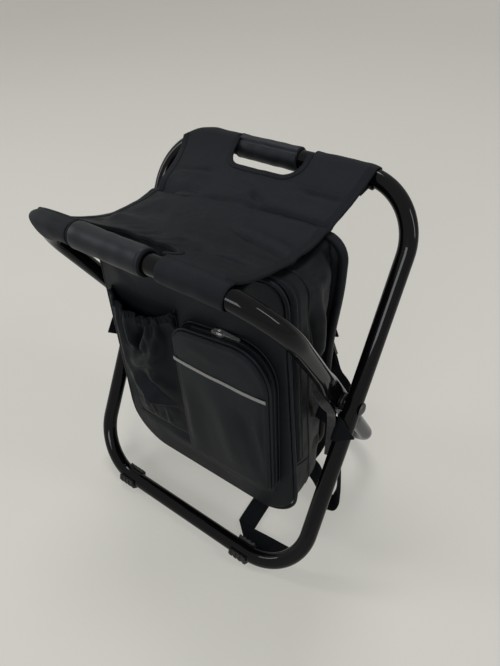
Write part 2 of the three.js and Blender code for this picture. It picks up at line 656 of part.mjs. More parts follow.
const far = 2 * OUTER_W;
const overHeight = (z) => block([-far, far], [-far, far], [z + CLEARANCE / 2, far]);
const underHeight = (z) => block([-far, far], [-far, far], [-far, z - CLEARANCE / 2]);
const zipTunnel = bagTunnel(GUSSET_FRONT_Y, SEAM_Y - CLEARANCE, 0, SHELL_T);
add(stool, 'bag_zip_gusset', overlap(zipTunnel, overHeight(ZIP_SEAM_HEIGHT)), FINISH.bag);
add(stool, 'bag_lower_gusset', overlap(zipTunnel, underHeight(ZIP_SEAM_HEIGHT)), FINISH.bag);
add(stool, 'bag_rear_gusset', bagTunnel(SEAM_Y, GUSSET_BACK_Y, 0, SHELL_T), FINISH.bag);

function bagBack() {
  const face = (y, inset) => standing(bagOutline(GUSSET_BACK_Y, inset), y);
  const start = GUSSET_BACK_Y + CLEARANCE;
  const flat = BAG_BACK_Y - BACK_PANEL_ROUND;
  const crown = steps(3).map((t) => {
    const a = (t * Math.PI) / 2;
    return face(flat + BACK_PANEL_ROUND * Math.sin(a), BACK_PANEL_ROUND * (1 - Math.cos(a)));
  });
  return loft([face(start, 0), ...crown], bagOutline(GUSSET_BACK_Y, 0));
}

add(stool, 'bag_back_panel', bagBack(), FINISH.bag);

const foamInset = SHELL_T + CLEARANCE;
const foamBack = GUSSET_BACK_Y;
add(stool, 'bag_insulation', bagPan(foamBack, foamInset, FOAM_T), FINISH.insulation);
const linerInset = foamInset + FOAM_T + CLEARANCE;
const linerBack = foamBack - FOAM_T - CLEARANCE;
add(stool, 'bag_liner', bagPan(linerBack, linerInset, LINER_T), FINISH.foil);

// Front flap: the padded panel, its lining and its piping

const panelOutline = (inset) => bagOutline(GUSSET_FRONT_Y, inset);
const panelRing = (y, inset) => standing(panelOutline(inset), y);

function frontPanel() {
  const round = FRONT_PANEL_T / 3;
  return loft([panelRing(PANEL_BACK_Y, 0), panelRing(BAG_FRONT_Y + round, 0), panelRing(BAG_FRONT_Y, round)],
    panelOutline(0));
}

function flapLining() {
  const inset = linerInset + LINER_T + FOAM_T / 2;
  const front = PANEL_BACK_Y + CLEARANCE;
  return loft([panelRing(front, inset), panelRing(front + FOAM_T / 2, inset)], panelOutline(inset));
}

const flapSide = overHeight(FLAP_CREASE_HEIGHT);
const fixedSide = underHeight(FLAP_CREASE_HEIGHT);
const piping = bead(panelOutline(-PIPING_D / 2 - CLEARANCE), PANEL_BACK_Y - FRONT_PANEL_T / 2, PIPING_D / 2, 6);
add(stool, 'front_flap', overlap(frontPanel(), flapSide), FINISH.bag);
add(stool, 'front_lower_panel', overlap(frontPanel(), fixedSide), FINISH.bag);
add(stool, 'front_lining', overlap(flapLining(), flapSide), FINISH.foil);
add(stool, 'flap_piping', overlap(piping, flapSide), FINISH.bag);
add(stool, 'lower_piping', overlap(piping, fixedSide), FINISH.bag);

// Main zip: coil and tape over the top and sides of the gusset, down to its cross seam

/** The open path over the top of a closed outline, from the right side to the left, above a height. */
function overTop(outline, height) {
  const upper = outline.filter((p) => p.y > height);
  const lower = outline.filter((p) => p.y <= height);
  const meet = (a, b) => a.clone().lerp(b, (a.y - height) / (a.y - b.y));
  return [meet(upper[0], lower[lower.length - 1]), ...upper, meet(upper[upper.length - 1], lower[0])];
}

const mainZipY = GUSSET_FRONT_Y + MAIN_ZIP_SETBACK;
const zipSpan = (y) => [y - ZIP_W / 2, y + ZIP_W / 2];
const mainZipLift = bagTop(mainZipY - ZIP_W / 2) - bagTop(mainZipY) + CLEARANCE;
add(stool, 'main_zip',
  tape(overTop(bagOutline(mainZipY, 0), ZIP_SEAM_HEIGHT + ZIP_W), zipSpan(mainZipY), mainZipLift, ZIP_T),
  FINISH.nylon);

// Zip sliders and pull tabs, drawn lying on a level zip that runs along X

function slider() {
  const shape = new THREE.Shape();
  const [l, w] = [SLIDER_L / 2, SLIDER_W / 2];
  shape.moveTo(-l, -w * 0.6);
  shape.lineTo(0, -w * 0.75);
  shape.lineTo(l, -w);
  shape.absarc(l, 0, w, -Math.PI / 2, Math.PI / 2, false);
  shape.lineTo(0, w * 0.75);
  shape.lineTo(-l, w * 0.6);
  return new THREE.ExtrudeGeometry(shape, { depth: SLIDER_T, bevelEnabled: false, curveSegments: 6 });
}

function pullTab() {
  const w = PULL_W / 2;
  const shape = new THREE.Shape();
  shape.absarc(w, 0, w, Math.PI / 2, (3 * Math.PI) / 2, false);
  shape.absarc(PULL_L - w / 2, 0, w / 2, -Math.PI / 2, Math.PI / 2, false);
  const eye = new THREE.Path();
  eye.absarc(w, 0, w * 0.55, 0, 2 * Math.PI, true);
  shape.holes.push(eye);
  return new THREE.ExtrudeGeometry(shape, { depth: PULL_T, bevelEnabled: false, curveSegments: 5 });
}

const mainSliderZ = bagTop(mainZipY) + mainZipLift + ZIP_T + CLEARANCE;
MAIN_SLIDER_X.forEach((x, k) => {
  const side = ['left', 'right'][k];
  const turn = k ? 0 : Math.PI;
  add(stool, `main_slider_${side}`, slider().rotateZ(turn).translate(x, mainZipY, mainSliderZ), FINISH.steel);
  add(stool, `main_pull_${side}`,
    pullTab().rotateZ(turn).translate(x, mainZipY, mainSliderZ + SLIDER_T + CLEARANCE), FINISH.steel);
});

// Zip pocket: a pan sewn on the panel, with piping, a stripe and a zip over its top and right side

const pocketRadii = (inset) => [POCKET_CORNERS.topRight, POCKET_CORNERS.topLeft,
  POCKET_CORNERS.bottomLeft, POCKET_CORNERS.bottomRight].map((r) => r - inset);
const pocketOutline = (inset) => roundedOutline([POCKET_X[0] + inset, POCKET_X[1] - inset],
  [POCKET_Z[0] + inset, POCKET_Z[1] - inset], pocketRadii(inset));
const pocketBackY = BAG_FRONT_Y - CLEARANCE;
const pocketFrontY = BAG_FRONT_Y - POCKET_BULGE;

function zipPocket() {
  const round = POCKET_WALL + 2;
  const shellOf = (back, front, inset) => loft([
    standing(pocketOutline(inset), back), standing(pocketOutline(inset), front + round),
    standing(pocketOutline(inset + round), front),
  ], pocketOutline(inset));
  return cut(shellOf(pocketBackY, pocketFrontY, 0),
    shellOf(pocketBackY + POCKET_WALL, pocketFrontY + POCKET_WALL, POCKET_WALL));
}

add(stool, 'zip_pocket', zipPocket(), FINISH.bag);
add(stool, 'zip_pocket_piping',
  bead(pocketOutline(-POCKET_PIPING_D / 2 - CLEARANCE), pocketFrontY + POCKET_WALL + 2 + POCKET_PIPING_D / 2,
    POCKET_PIPING_D / 2, 6), FINISH.bag);

const stripeTop = POCKET_Z[1] - STRIPE_DROP;
const stripeInset = POCKET_WALL + 2 + CLEARANCE;
const stripeY = pocketFrontY - CLEARANCE;
add(stool, 'reflective_stripe',
  block([POCKET_X[0] + stripeInset, POCKET_X[1] - stripeInset], [stripeY - STRIPE_T, stripeY],
    [stripeTop - STRIPE_W, stripeTop]), FINISH.stripe);

const pocketZipY = BAG_FRONT_Y - POCKET_ZIP_INSET;
const pocketZipPath = overTop(pocketOutline(0), POCKET_Z[0] + POCKET_CORNERS.bottomRight)
  .filter((p) => p.x > POCKET_X[0] + POCKET_CORNERS.topLeft - 1);
add(stool, 'pocket_zip', tape(pocketZipPath, zipSpan(pocketZipY), CLEARANCE, ZIP_T), FINISH.nylon);
const pocketSliderZ = POCKET_Z[1] + 2 * CLEARANCE + ZIP_T;
add(stool, 'pocket_slider', slider().translate(POCKET_SLIDER_X, pocketZipY, pocketSliderZ), FINISH.steel);
add(stool, 'pocket_pull',
  pullTab().translate(POCKET_SLIDER_X, pocketZipY, pocketSliderZ + SLIDER_T + CLEARANCE), FINISH.steel);

// Elastic pocket: a gathered pouch, open along its top

function elasticSurface(offset, low, high) {
  return (u, v) => {
    const side = Math.sin(Math.PI * u) ** 0.6;
    const at = THREE.MathUtils.lerp(low, high, v);
    const rise = THREE.MathUtils.lerp(ELASTIC_Z[0], ELASTIC_Z[1] - ELASTIC_TOP_DIP * side, at);
    const belly = smooth(Math.min(1, at * 3)) * THREE.MathUtils.lerp(ELASTIC_BULGE, ELASTIC_MOUTH, at);
    const pleat = ELASTIC_PLEAT_H * smooth(at) * Math.cos(2 * Math.PI * ELASTIC_PLEATS * u);
    const out = side * (belly + pleat) + CLEARANCE + offset;
    return point(THREE.MathUtils.lerp(ELASTIC_X[0], ELASTIC_X[1], u), BAG_FRONT_Y - out, rise);
  };
}

const bandShare = 1 - ELASTIC_BAND_H / (ELASTIC_Z[1] - ELASTIC_Z[0]);
add(stool, 'elastic_pocket',
  sheet(elasticSurface(0, 0, bandShare), elasticSurface(ELASTIC_T, 0, bandShare), 30, 9), FINISH.bag);
const bandStart = bandShare + CLEARANCE / (ELASTIC_Z[1] - ELASTIC_Z[0]);
add(stool, 'elastic_band',
  sheet(elasticSurface(0, bandStart, 1), elasticSurface(ELASTIC_T, bandStart, 1), 30, 1), FINISH.bag);

// Hook-and-loop ties: a band round the outer leg, a tab to the bag's side and a loose tail

function legTie(side, drop, tailLength, tailHangs) {
  const inner = TUBE_R + CLEARANCE;
  const outer = inner + TIE_T;
  const half = TIE_W / 2;
  const across = (a, b) => [side * a, side * b].sort((p, q) => p - q);
  const width = [-drop - half, -drop + half];
  const band = turned([[-half, inner], [-half, outer], [half, outer], [half, inner], [-half, inner]], TUBE_SIDES);
  band.rotateY(-Math.PI / 2).translate(side * OUTER_HALF, 0, -drop);
  const lap = inner + TIE_T / 2;
  const tab = block(across(BAG_HALF - TIE_T, OUTER_HALF), [-outer, -inner], width);
  const hanging = block(across(OUTER_HALF - TUBE_R - TIE_TAIL_W, OUTER_HALF - TUBE_R), [-outer, -inner],
    [width[0] - tailLength, width[1]]);
  const pointing = block(across(OUTER_HALF - TIE_T, OUTER_HALF), [-lap - tailLength, -lap], width);
  const leg = new THREE.CylinderGeometry(inner, inner, LOOP_LENGTH / 2, TUBE_SIDES).rotateX(Math.PI / 2);
  outerFrame.updateMatrixWorld();
  const bag = bagSolid(GUSSET_FRONT_Y, GUSSET_BACK_Y, -CLEARANCE);
  bag.applyMatrix4(outerFrame.matrixWorld.clone().invert());
  return cut(join(band, tab, tailHangs ? hanging : pointing), leg.translate(side * OUTER_HALF, 0, -drop), bag);
}

add(outerFrame, 'leg_tie_right', legTie(1, TIE_DROP.right, TIE_TAIL.right, true), FINISH.webbing);
add(outerFrame, 'leg_tie_left', legTie(-1, TIE_DROP.left, TIE_TAIL.left, false), FINISH.webbing);

// Shoulder straps: padded upper parts on the bag's back, buckles, and webbing down to the floor

const beside = (out) => BAG_HALF + out;
const behind = (back) => BAG_BACK_Y + back;
const padRoute = (side) => PAD_ROUTE.map(([inset, back, z]) => [side * beside(-inset), behind(back), z, 1, 0, 0]);

/** A flat buckle with two slots, drawn across X and hanging down -Y from the origin. */
function ladderBuckle() {
  const half = BUCKLE_W / 2;
  const frame = (x, from, to, path) => path.moveTo(-x, -to).lineTo(x, -to).lineTo(x, -from).lineTo(-x, -from);
  const shape = frame(half, 0, BUCKLE_L, new THREE.Shape());
  const slot = (BUCKLE_L - 3 * BUCKLE_BAR) / 2;
  for (const start of [BUCKLE_BAR, 2 * BUCKLE_BAR + slot]) {
    shape.holes.push(frame(half - BUCKLE_BAR / 2, start, start + slot, new THREE.Path()));
  }
  const solid = new THREE.ExtrudeGeometry(shape, { depth: BUCKLE_T, bevelEnabled: false });
  return solid.translate(0, 0, -BUCKLE_T / 2);
}

/** The first stretch of webbing below the buckle, in line with the pad and so far behind it. */
function strapStart(side, behind) {
  const { centre, along, edge } = ribbonFrame(padRoute(side), 1);
  return [BUCKLE_L + 2 * CLEARANCE, BUCKLE_L + BUCKLE_W / 2].map((reach) => {
    const at = centre.clone().addScaledVector(along, reach);
    return [at.x, at.y + behind, at.z, edge.x, edge.y, edge.z];
  });
}

const floorZ = FLOOR_GAP + WEB_T / 2;
const underBag = BAG_LIFT - CLEARANCE - WEB_T;
const byFoot = WEB_T + WEB_W / 2 + TUBE_R + FOOT_WALL + FOOT_RIB_H - BAR_Y;
const laid = (x, y, z, turn) => {
  const a = THREE.MathUtils.degToRad(turn);
  return [x, y, Math.max(z, floorZ), Math.cos(a), Math.sin(a), 0];
};
const hung = (side, route) => route.map(([out, back, up, turn]) => laid(side * beside(out), behind(back), up, turn));
const sewn = (side, seam) => seam.map(([out, back, turn]) => laid(side * beside(out), behind(back), underBag, turn));
const webRight = [...strapStart(1, 0), ...hung(1, WEB_RIGHT_ROUTE), ...sewn(1, WEB_RIGHT_SEAM)];
const webLeft = [...strapStart(-1, 0), ...hung(-1, WEB_LEFT_ROUTE), ...sewn(-1, WEB_LEFT_SEAM)];
const tailEnd = TAIL_END.map(([out, back, turn]) => laid(beside(out), byFoot + back, floorZ, turn));
const tail = [...strapStart(1, TAIL_LAP), ...hung(1, TAIL_ROUTE), ...tailEnd];

for (const [name, side, web] of [['right', 1, webRight], ['left', -1, webLeft]]) {
  const { centre, along, edge, face } = ribbonFrame(padRoute(side), 1);
  const place = new THREE.Matrix4().makeBasis(edge, along.clone().negate(), face);
  place.setPosition(centre.addScaledVector(along, CLEARANCE));
  add(stool, `shoulder_pad_${name}`, pad(padRoute(side), PAD_W, PAD_T, 4), FINISH.bag);
  add(stool, `strap_buckle_${name}`, ladderBuckle().applyMatrix4(place), FINISH.nylon);
  add(stool, `strap_web_${name}`, ribbon(web, WEB_W, WEB_T, 4), FINISH.webbing);
}
add(stool, 'strap_tail', ribbon(tail, WEB_W, WEB_T, 4), FINISH.webbing);

export default stool;
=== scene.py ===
"""Looks of a folding cooler stool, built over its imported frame.

Shapes are worked out in millimetres in the frame's axes, with +X along the bars, the front towards -Y
and +Z up. Meshes are stored in metres.
"""

import logging
import math
from dataclasses import dataclass, field
from enum import Enum
from typing import Optional, Sequence

import bpy
import numpy as np
from mathutils import Matrix, Vector


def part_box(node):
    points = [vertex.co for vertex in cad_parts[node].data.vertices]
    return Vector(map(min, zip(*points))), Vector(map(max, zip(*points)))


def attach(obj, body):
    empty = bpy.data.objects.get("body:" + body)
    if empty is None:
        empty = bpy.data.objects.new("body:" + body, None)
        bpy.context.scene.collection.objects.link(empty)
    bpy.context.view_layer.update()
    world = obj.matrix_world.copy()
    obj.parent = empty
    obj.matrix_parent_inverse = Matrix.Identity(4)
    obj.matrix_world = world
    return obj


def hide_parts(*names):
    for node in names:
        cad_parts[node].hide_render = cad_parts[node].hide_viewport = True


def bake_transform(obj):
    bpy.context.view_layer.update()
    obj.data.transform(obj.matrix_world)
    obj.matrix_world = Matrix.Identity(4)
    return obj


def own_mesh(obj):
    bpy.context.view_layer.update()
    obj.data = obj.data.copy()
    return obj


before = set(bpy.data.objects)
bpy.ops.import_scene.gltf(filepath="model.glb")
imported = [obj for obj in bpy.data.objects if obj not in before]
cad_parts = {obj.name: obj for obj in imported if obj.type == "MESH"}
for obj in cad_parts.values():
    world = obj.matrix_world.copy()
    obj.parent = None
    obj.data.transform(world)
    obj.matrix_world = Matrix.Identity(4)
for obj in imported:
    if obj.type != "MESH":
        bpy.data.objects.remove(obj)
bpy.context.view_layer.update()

Array = np.ndarray
Piece = bpy.types.Object
Material = bpy.types.Material
Colour = tuple[float, float, float]
Route = tuple[tuple[float, ...], ...]
MM = 0.001
QUARTER = math.pi / 2
LOG = logging.getLogger("stool")
SIDES = ((1, "right"), (-1, "left"))


class Body(Enum):
    """The moving bodies that pieces ride on."""

    OUTER = "outer_frame"
    INNER = "inner_frame"
    BAG = "bag"
    FLAP = "flap"


class Slot(Enum):
    """Material slot names."""

    TUBE = "tube"
    NYLON = "nylon"
    FOAM = "foam"
    SEAT = "seat"
    BAG = "bag"
    WEBBING = "webbing"
    FOIL = "foil"
    STRIPE = "stripe"


class Held(Enum):
    """How a sheet of cloth is held."""

    HUNG = "hung"
    GATHERED = "gathered"
    LAID = "laid"
    STRETCHED = "stretched"


# Numbers and lines


def ramp(x: Array, start: float, end: float) -> Array:
    """Smooth step, 3t^2 - 2t^3 of the share t of the way from start to end."""
    t = np.clip((np.asarray(x, float) - start) / (end - start), 0.0, 1.0)
    return t * t * (3.0 - 2.0 * t)


def band(x: Array, a: float, b: float, c: float, d: float) -> Array:
    """Smooth rise from 0 to 1 between a and b, and fall back to 0 between c and d."""
    return ramp(x, a, b) * (1 - ramp(x, c, d))


def bell(x: Array, at: float, width: float) -> Array:
    """Bell curve exp(-((x - at) / width)^2), one high at its middle."""
    return np.exp(-(((np.asarray(x, float) - at) / width) ** 2))


def blend(a: Array, b: Array, t: Array) -> Array:
    """Straight mix from a at t 0 to b at t 1."""
    return a + (b - a) * t


def unit(v: Array) -> Array:
    """Vectors along the last axis, each divided by its own length."""
    return v / np.maximum(np.linalg.norm(v, axis=-1, keepdims=True), 1e-12)


def turns(count: int, start: float = 0.0) -> Array:
    """Angles at even steps round a circle, the first a share of a step on from 0."""
    return 2 * math.pi * (np.arange(count) + start) / count


def running(steps: Array) -> Array:
    """Running sum of steps, from 0 on."""
    return np.concatenate([[0.0], np.cumsum(steps)])


def chords(path: Array) -> Array:
    """Lengths of a path's chords."""
    return np.linalg.norm(np.diff(path, axis=0), axis=1)


def spaced(path: Array, count: int, closed: bool = False) -> Array:
    """Points at even steps along a path.

    Each coordinate is read off against the running length of the path's chords.

    Args:
        path: Points in order, one per row.
        count: How many points to return.
        closed: Whether the last point runs on to the first.

    Returns:
        The evenly spaced points, one per row.
    """
    line = np.vstack([path, path[:1]]) if closed else path
    reach = running(chords(line))
    at = np.linspace(0.0, reach[-1], count, endpoint=not closed)
    return np.stack([np.interp(at, reach, column) for column in line.T], axis=1)


def smooth_path(knots: Array, per_span: int) -> tuple[Array, Array]:
    """Centripetal Catmull-Rom curve through knots.

    Between two knots it is the cubic whose end slopes weigh the chords on both sides by the square root
    of their lengths. The first and last chord are mirrored past the ends.

    Args:
        knots: Points that the curve passes through, one per row.
        per_span: Steps between one knot and the next.

    Returns:
        The points of the curve and its unit directions there.
    """
    line = np.vstack([2 * knots[0] - knots[1], knots, 2 * knots[-1] - knots[-2]])
    p0, p1, p2, p3 = (line[k : len(line) - 3 + k, None, :] for k in range(4))
    spans = ((p0, p1), (p1, p2), (p2, p3))
    d0, d1, d2 = (np.sqrt(np.linalg.norm(b - a, axis=-1, keepdims=True)) for a, b in spans)
    m1 = ((p1 - p0) / d0 - (p2 - p0) / (d0 + d1) + (p2 - p1) / d1) * d1
    m2 = ((p2 - p1) / d1 - (p3 - p1) / (d1 + d2) + (p3 - p2) / d2) * d1
    t = (np.arange(per_span) / per_span)[None, :, None]
    curve = (2 * t**3 - 3 * t**2 + 1) * p1 + (t**3 - 2 * t**2 + t) * m1
    curve = curve + (3 * t**2 - 2 * t**3) * p2 + (t**3 - t**2) * m2
    points = np.vstack([curve.reshape(-1, 3), knots[-1:]])
    return points, unit(np.gradient(points, axis=0))


def rounded_outline(x: Sequence[float], z: Sequence[float], radii: Sequence[float], count: int) -> Array:
    """Round-cornered outline in X and Z, counter-clockwise from the right side's upper end.

    Each corner is a quarter circle about a centre set in by its radius.

    Args:
        x: Left and right.
        z: Bottom and top.
        radii: Corner radii, from top right round to bottom right.
        count: Points round the outline.

    Returns:
        Points (x, z), evenly spaced.
    """
    corners = ((1, 1, 0), (0, 1, 1), (0, 0, 2), (1, 0, 3))
    arcs = []
    for (right, top, quarter), r in zip(corners, radii):
        a = np.linspace(0.0, QUARTER, 24) + quarter * QUARTER
        centre = (x[1] - r if right else x[0] + r, z[1] - r if top else z[0] + r)
        arcs.append(np.stack([centre[0] + r * np.cos(a), centre[1] + r * np.sin(a)], axis=1))
    return spaced(np.vstack(arcs), count, closed=True)


def outward(ring: Array) -> Array:
    """Unit normals of a closed counter-clockwise outline in two coordinates, pointing out of it."""
    along = unit(np.roll(ring, -1, axis=-2) - np.roll(ring, 1, axis=-2))
    return np.stack([along[..., 1], -along[..., 0]], axis=-1)


def shrunk(outline: Array, share: Array) -> Array:
    """Copies of an outline, each shrunk towards its mean point to a share of its size."""
    centre = outline.mean(axis=0)
    return centre + (outline - centre)[None] * np.atleast_1d(share)[:, None, None]


def at_depth(xz: Array, y: Array) -> Array:
    """Points of pairs x and z, at depth y."""
    return np.stack(np.broadcast_arrays(xz[..., 0], y, xz[..., 1]), axis=-1)


@dataclass(frozen=True)
class Fold:
    """A soft fold in cloth: a ridge where its lift is positive and a valley where it is negative."""

    start: tuple[float, float]
    end: tuple[float, float]
    width: float
    lift: float

    def height(self, a: Array, b: Array) -> Array:
        """Lift of the fold at points (a, b).

        It is a bell across the line from start to end, times a smooth fade past the line's two ends.

        Args:
            a: First coordinate of each point.
            b: Second coordinate of each point.

        Returns:
            The lift at each point.
        """
        run = np.subtract(self.end, self.start)
        length = float(np.hypot(*run))
        da, db = a - self.start[0], b - self.start[1]
        along = (da * run[0] + db * run[1]) / length
        across = (db * run[0] - da * run[1]) / length
        fade = band(along, -self.width, 0.35 * length, 0.65 * length, length + self.width)
        return self.lift * bell(across, 0.0, self.width) * fade


def fold_rows(*rows: Sequence[float]) -> tuple[Fold, ...]:
    """Folds from rows of the start's and the end's two coordinates, the width and the lift."""
    return tuple(Fold((a, b), (c, d), width, lift) for a, b, c, d, width, lift in rows)


def folds_height(folds: Sequence[Fold], a: Array, b: Array) -> Array:
    """Sum of the folds' lifts at points (a, b)."""
    return sum((f.height(a, b) for f in folds), np.zeros(np.broadcast(a, b).shape))


def rumple(a: Array, b: Array, size: float) -> Array:
    """Gentle unevenness between about -1 and 1: three sine waves that cross at different headings.

    Args:
        a: First coordinate.
        b: Second coordinate.
        size: Scale of the waves, in the coordinates' unit.

    Returns:
        Height at each point.
    """
    p, q = np.asarray(a, float) / size, np.asarray(b, float) / size
    headings = ((2.1, 1.3, 0.4), (-1.2, 2.4, 1.9), (3.1, -0.7, 4.1))
    return sum(np.sin(u * p + v * q + phase) for u, v, phase in headings) / 3


# Meshes


@dataclass
class Surface:
    """A grid of points that becomes a mesh, with cloth coordinates in metres as its UV map."""

    points: Array  # rows, columns, xyz
    ring: bool = False  # the last column joins the first
    loop: bool = False  # the last row joins the first
    capped: bool = False  # the first and last row are filled
    keep: Optional[Array] = None  # which faces stay, by row and column
    facing: Optional[Sequence[float]] = None  # which way an open sheet's front looks
    cloth: Optional[Array] = None  # cloth coordinates of each point

    def _corners(self) -> tuple[Array, Array]:
        """Row and column numbers of each face's four corners, running on past the grid where it closes.

        Returns:
            Rows and columns, each by face and corner.
        """
        rows, columns = self.points.shape[:2]
        spans = rows if self.loop else rows - 1, columns if self.ring else columns - 1
        r, c = np.meshgrid(np.arange(spans[0]), np.arange(spans[1]), indexing="ij")
        kept = np.ones(r.shape, bool) if self.keep is None else self.keep
        r, c = r[kept], c[kept]
        return np.stack([r, r, r + 1, r + 1], axis=1), np.stack([c, c + 1, c + 1, c], axis=1)

    def _cloth(self, r: Array, c: Array) -> Array:
        """Cloth coordinates of face corners: given ones, or the mean lengths along columns and rows.

        Args:
            r: Rows of the corners.
            c: Columns of the corners.

        Returns:
            Coordinates in metres, by face and corner.
        """
        p = self.points
        if self.cloth is not None:
            return self.cloth[r % p.shape[0], c % p.shape[1]] * MM
        columns = np.concatenate([p, p[:, :1]], axis=1) if self.ring else p
        rows = np.concatenate([p, p[:1]], axis=0) if self.loop else p
        u = running(np.linalg.norm(np.diff(columns, axis=1), axis=2).mean(axis=0))
        v = running(np.linalg.norm(np.diff(rows, axis=0), axis=2).mean(axis=1))
        return np.stack([u[c], v[r]], axis=-1) * MM

    def _turned(self, quads: Array) -> bool:
        """Whether the faces point the wrong way, by enclosed volume or an open sheet's mean normal.

        Args:
            quads: Point numbers by face and corner.

        Returns:
            True if they have to be turned.
        """
        p = self.points.reshape(-1, 3)[quads]
        normals = np.cross(p[:, 2] - p[:, 0], p[:, 3] - p[:, 1])
        if self.facing is not None:
            return float(normals.sum(axis=0) @ np.asarray(self.facing, float)) < 0
        middle = p.mean(axis=1) - self.points.reshape(-1, 3).mean(axis=0)
        return float((middle * normals).sum()) < 0

    def build(self, name: str) -> Piece:
        """Makes the mesh object of the points that its faces use.

        Args:
            name: The piece's name.

        Returns:
            The new object, shaded smooth and linked to the scene.
        """
        rows, columns = self.points.shape[:2]
        r, c = self._corners()
        quads = (r % rows) * columns + c % columns
        cloth = self._cloth(r, c)
        turned = self._turned(quads)
        if turned:
            quads, cloth = quads[:, ::-1], cloth[:, ::-1]
        used, numbers = np.unique(quads, return_inverse=True)
        faces = numbers.reshape(-1, 4).tolist()
        cloth = cloth.reshape(-1, 2)
        if self.capped:
            first, last = np.arange(columns), np.arange(columns) + (rows - 1) * columns
            faces += [(first if turned else first[::-1]).tolist(), (last[::-1] if turned else last).tolist()]
            cloth = np.vstack([cloth, np.zeros((2 * columns, 2))])
        mesh = bpy.data.meshes.new(name)
        mesh.from_pydata((self.points.reshape(-1, 3)[used] * MM).tolist(), [], faces)
        mesh.uv_layers.new(name="cloth").data.foreach_set("uv", cloth.astype(np.float32).ravel())
        mesh.polygons.foreach_set("use_smooth", np.ones(len(mesh.polygons), bool))
        mesh.update()
        piece = bpy.data.objects.new(name, mesh)
        bpy.context.scene.collection.objects.link(piece)
        return piece


def strap_outline(
    width: float, thickness: float, count: int = 20, powers: tuple[float, float] = (0.3, 0.55)
) -> Array:
    """Cross-section of flat webbing: a superellipse, nearly square with rounded selvedges.

    Args:
        width: Its width.
        thickness: Its thickness.
        count: Number of points.
        powers: Powers of the cosine across it and of the sine through it.

    Returns:
        Points as across and through.
    """
    a = turns(count, 0.5)
    waves = np.stack([np.cos(a), np.sin(a)], axis=1)
    return np.sign(waves) * np.abs(waves) ** np.array(powers) * np.array([width / 2, thickness / 2])


def swept(centre: Array, edge: Array, face: Array, outline: Array, swell: Optional[Array] = None) -> Array:
    """Rings of a profile carried along a path.

    A ring's points are the centre plus the outline's first coordinate along the edge direction and its
    second, times the swell, along the face direction.

    Args:
        centre: Path points.
        edge: Direction across the strip at each point.
        face: Direction out of the strip's face at each point.
        outline: Profile points, two coordinates each.
        swell: How far the thickness is scaled at each point.

    Returns:
        Points by station and profile point.
    """
    thick = np.ones(len(centre)) if swell is None else swell
    up = outline[None, :, 1, None] * thick[:, None, None] * face[:, None, :]
    return centre[:, None, :] + outline[None, :, 0, None] * edge[:, None, :] + up


def ribbon_frame(knots: Array, per_span: int) -> tuple[Array, Array, Array]:
    """Centre line, edge direction and face direction of a strip.

    The edge is mixed straight from knot to knot, then squared to the direction of travel. The face is
    the travel crossed with the edge.

    Args:
        knots: Rows of x, y, z and the edge's x, y, z.
        per_span: Steps between knots.

    Returns:
        Centre points, unit edges and unit faces.
    """
    centre, along = smooth_path(knots[:, :3], per_span)
    at = np.linspace(0, len(knots) - 1, len(centre))
    edge = np.stack([np.interp(at, np.arange(len(knots)), column) for column in knots[:, 3:].T], axis=1)
    edge = unit(edge - (edge * along).sum(axis=1, keepdims=True) * along)
    return centre, edge, unit(np.cross(along, edge))


def bead(path: Array, radius: float, sides: int = 10, closed: bool = True) -> Surface:
    """Round bead along a path: a circle in the plane square to the path's direction at each point.

    Args:
        path: Points along its middle.
        radius: Its radius.
        sides: Points round it.
        closed: Whether the path's ends meet.

    Returns:
        The bead's surface.
    """
    if closed:
        along = unit(np.roll(path, -1, axis=0) - np.roll(path, 1, axis=0))
    else:
        along = unit(np.gradient(path, axis=0))
    helper = np.where(np.abs(along[:, 1:2]) > 0.8, [[1.0, 0.0, 0.0]], [[0.0, 1.0, 0.0]])
    edge = unit(np.cross(along, helper))
    a = turns(sides)
    outline = radius * np.stack([np.cos(a), np.sin(a)], axis=1)
    rings = swept(path, edge, np.cross(along, edge), outline)
    return Surface(rings, ring=True, loop=closed, capped=not closed)


def dress(
    piece: Piece, finish: "Finish", nodes: Sequence[str] = (), body: Optional[Body] = None
) -> Piece:
    """Gives a piece its finish, the nodes that it stands for and the body that it rides on.

    Args:
        piece: The piece.
        finish: Its finish.
        nodes: CAD nodes that it replaces.
        body: The body it rides on, or None.

    Returns:
        The piece.
    """
    piece.data.materials.clear()
    piece.data.materials.append(finish.material())
    if nodes:
        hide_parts(*nodes)
    if body is not None:
        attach(piece, body.value)
    LOG.info("%s: %d faces, %s", piece.name, len(piece.data.polygons), finish.name)
    return piece


def loft(
    name: str,
    rings: Array,
    finish: "Finish",
    nodes: Sequence[str] = (),
    body: Optional[Body] = None,
    cloth: Optional[Array] = None,
) -> Piece:
    """A dressed piece of closed rings in a row, filled at both ends."""
    return dress(Surface(rings, ring=True, capped=True, cloth=cloth).build(name), finish, nodes, body)


def piping(
    name: str,
    path: Array,
    radius: float,
    body: Optional[Body] = None,
    nodes: Sequence[str] = (),
    sides: int = 10,
    closed: bool = True,
) -> Piece:
    """A dressed bead of piping along a path."""
    return dress(bead(path, radius, sides, closed).build(name), FINISH.piping, nodes, body)


def thicken(piece: Piece, thickness: float) -> None:
    """Gives an open sheet its thickness, half to each side.

    Args:
        piece: The sheet.
        thickness: Its thickness in millimetres.
    """
    wall = piece.modifiers.new("thickness", "SOLIDIFY")
    wall.thickness = thickness * MM
    wall.offset = 0.0
    wall.use_even_offset = False


def cross_joint(piece: Piece) -> None:
    """Bakes a piece's placement into its mesh."""
    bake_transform(piece)


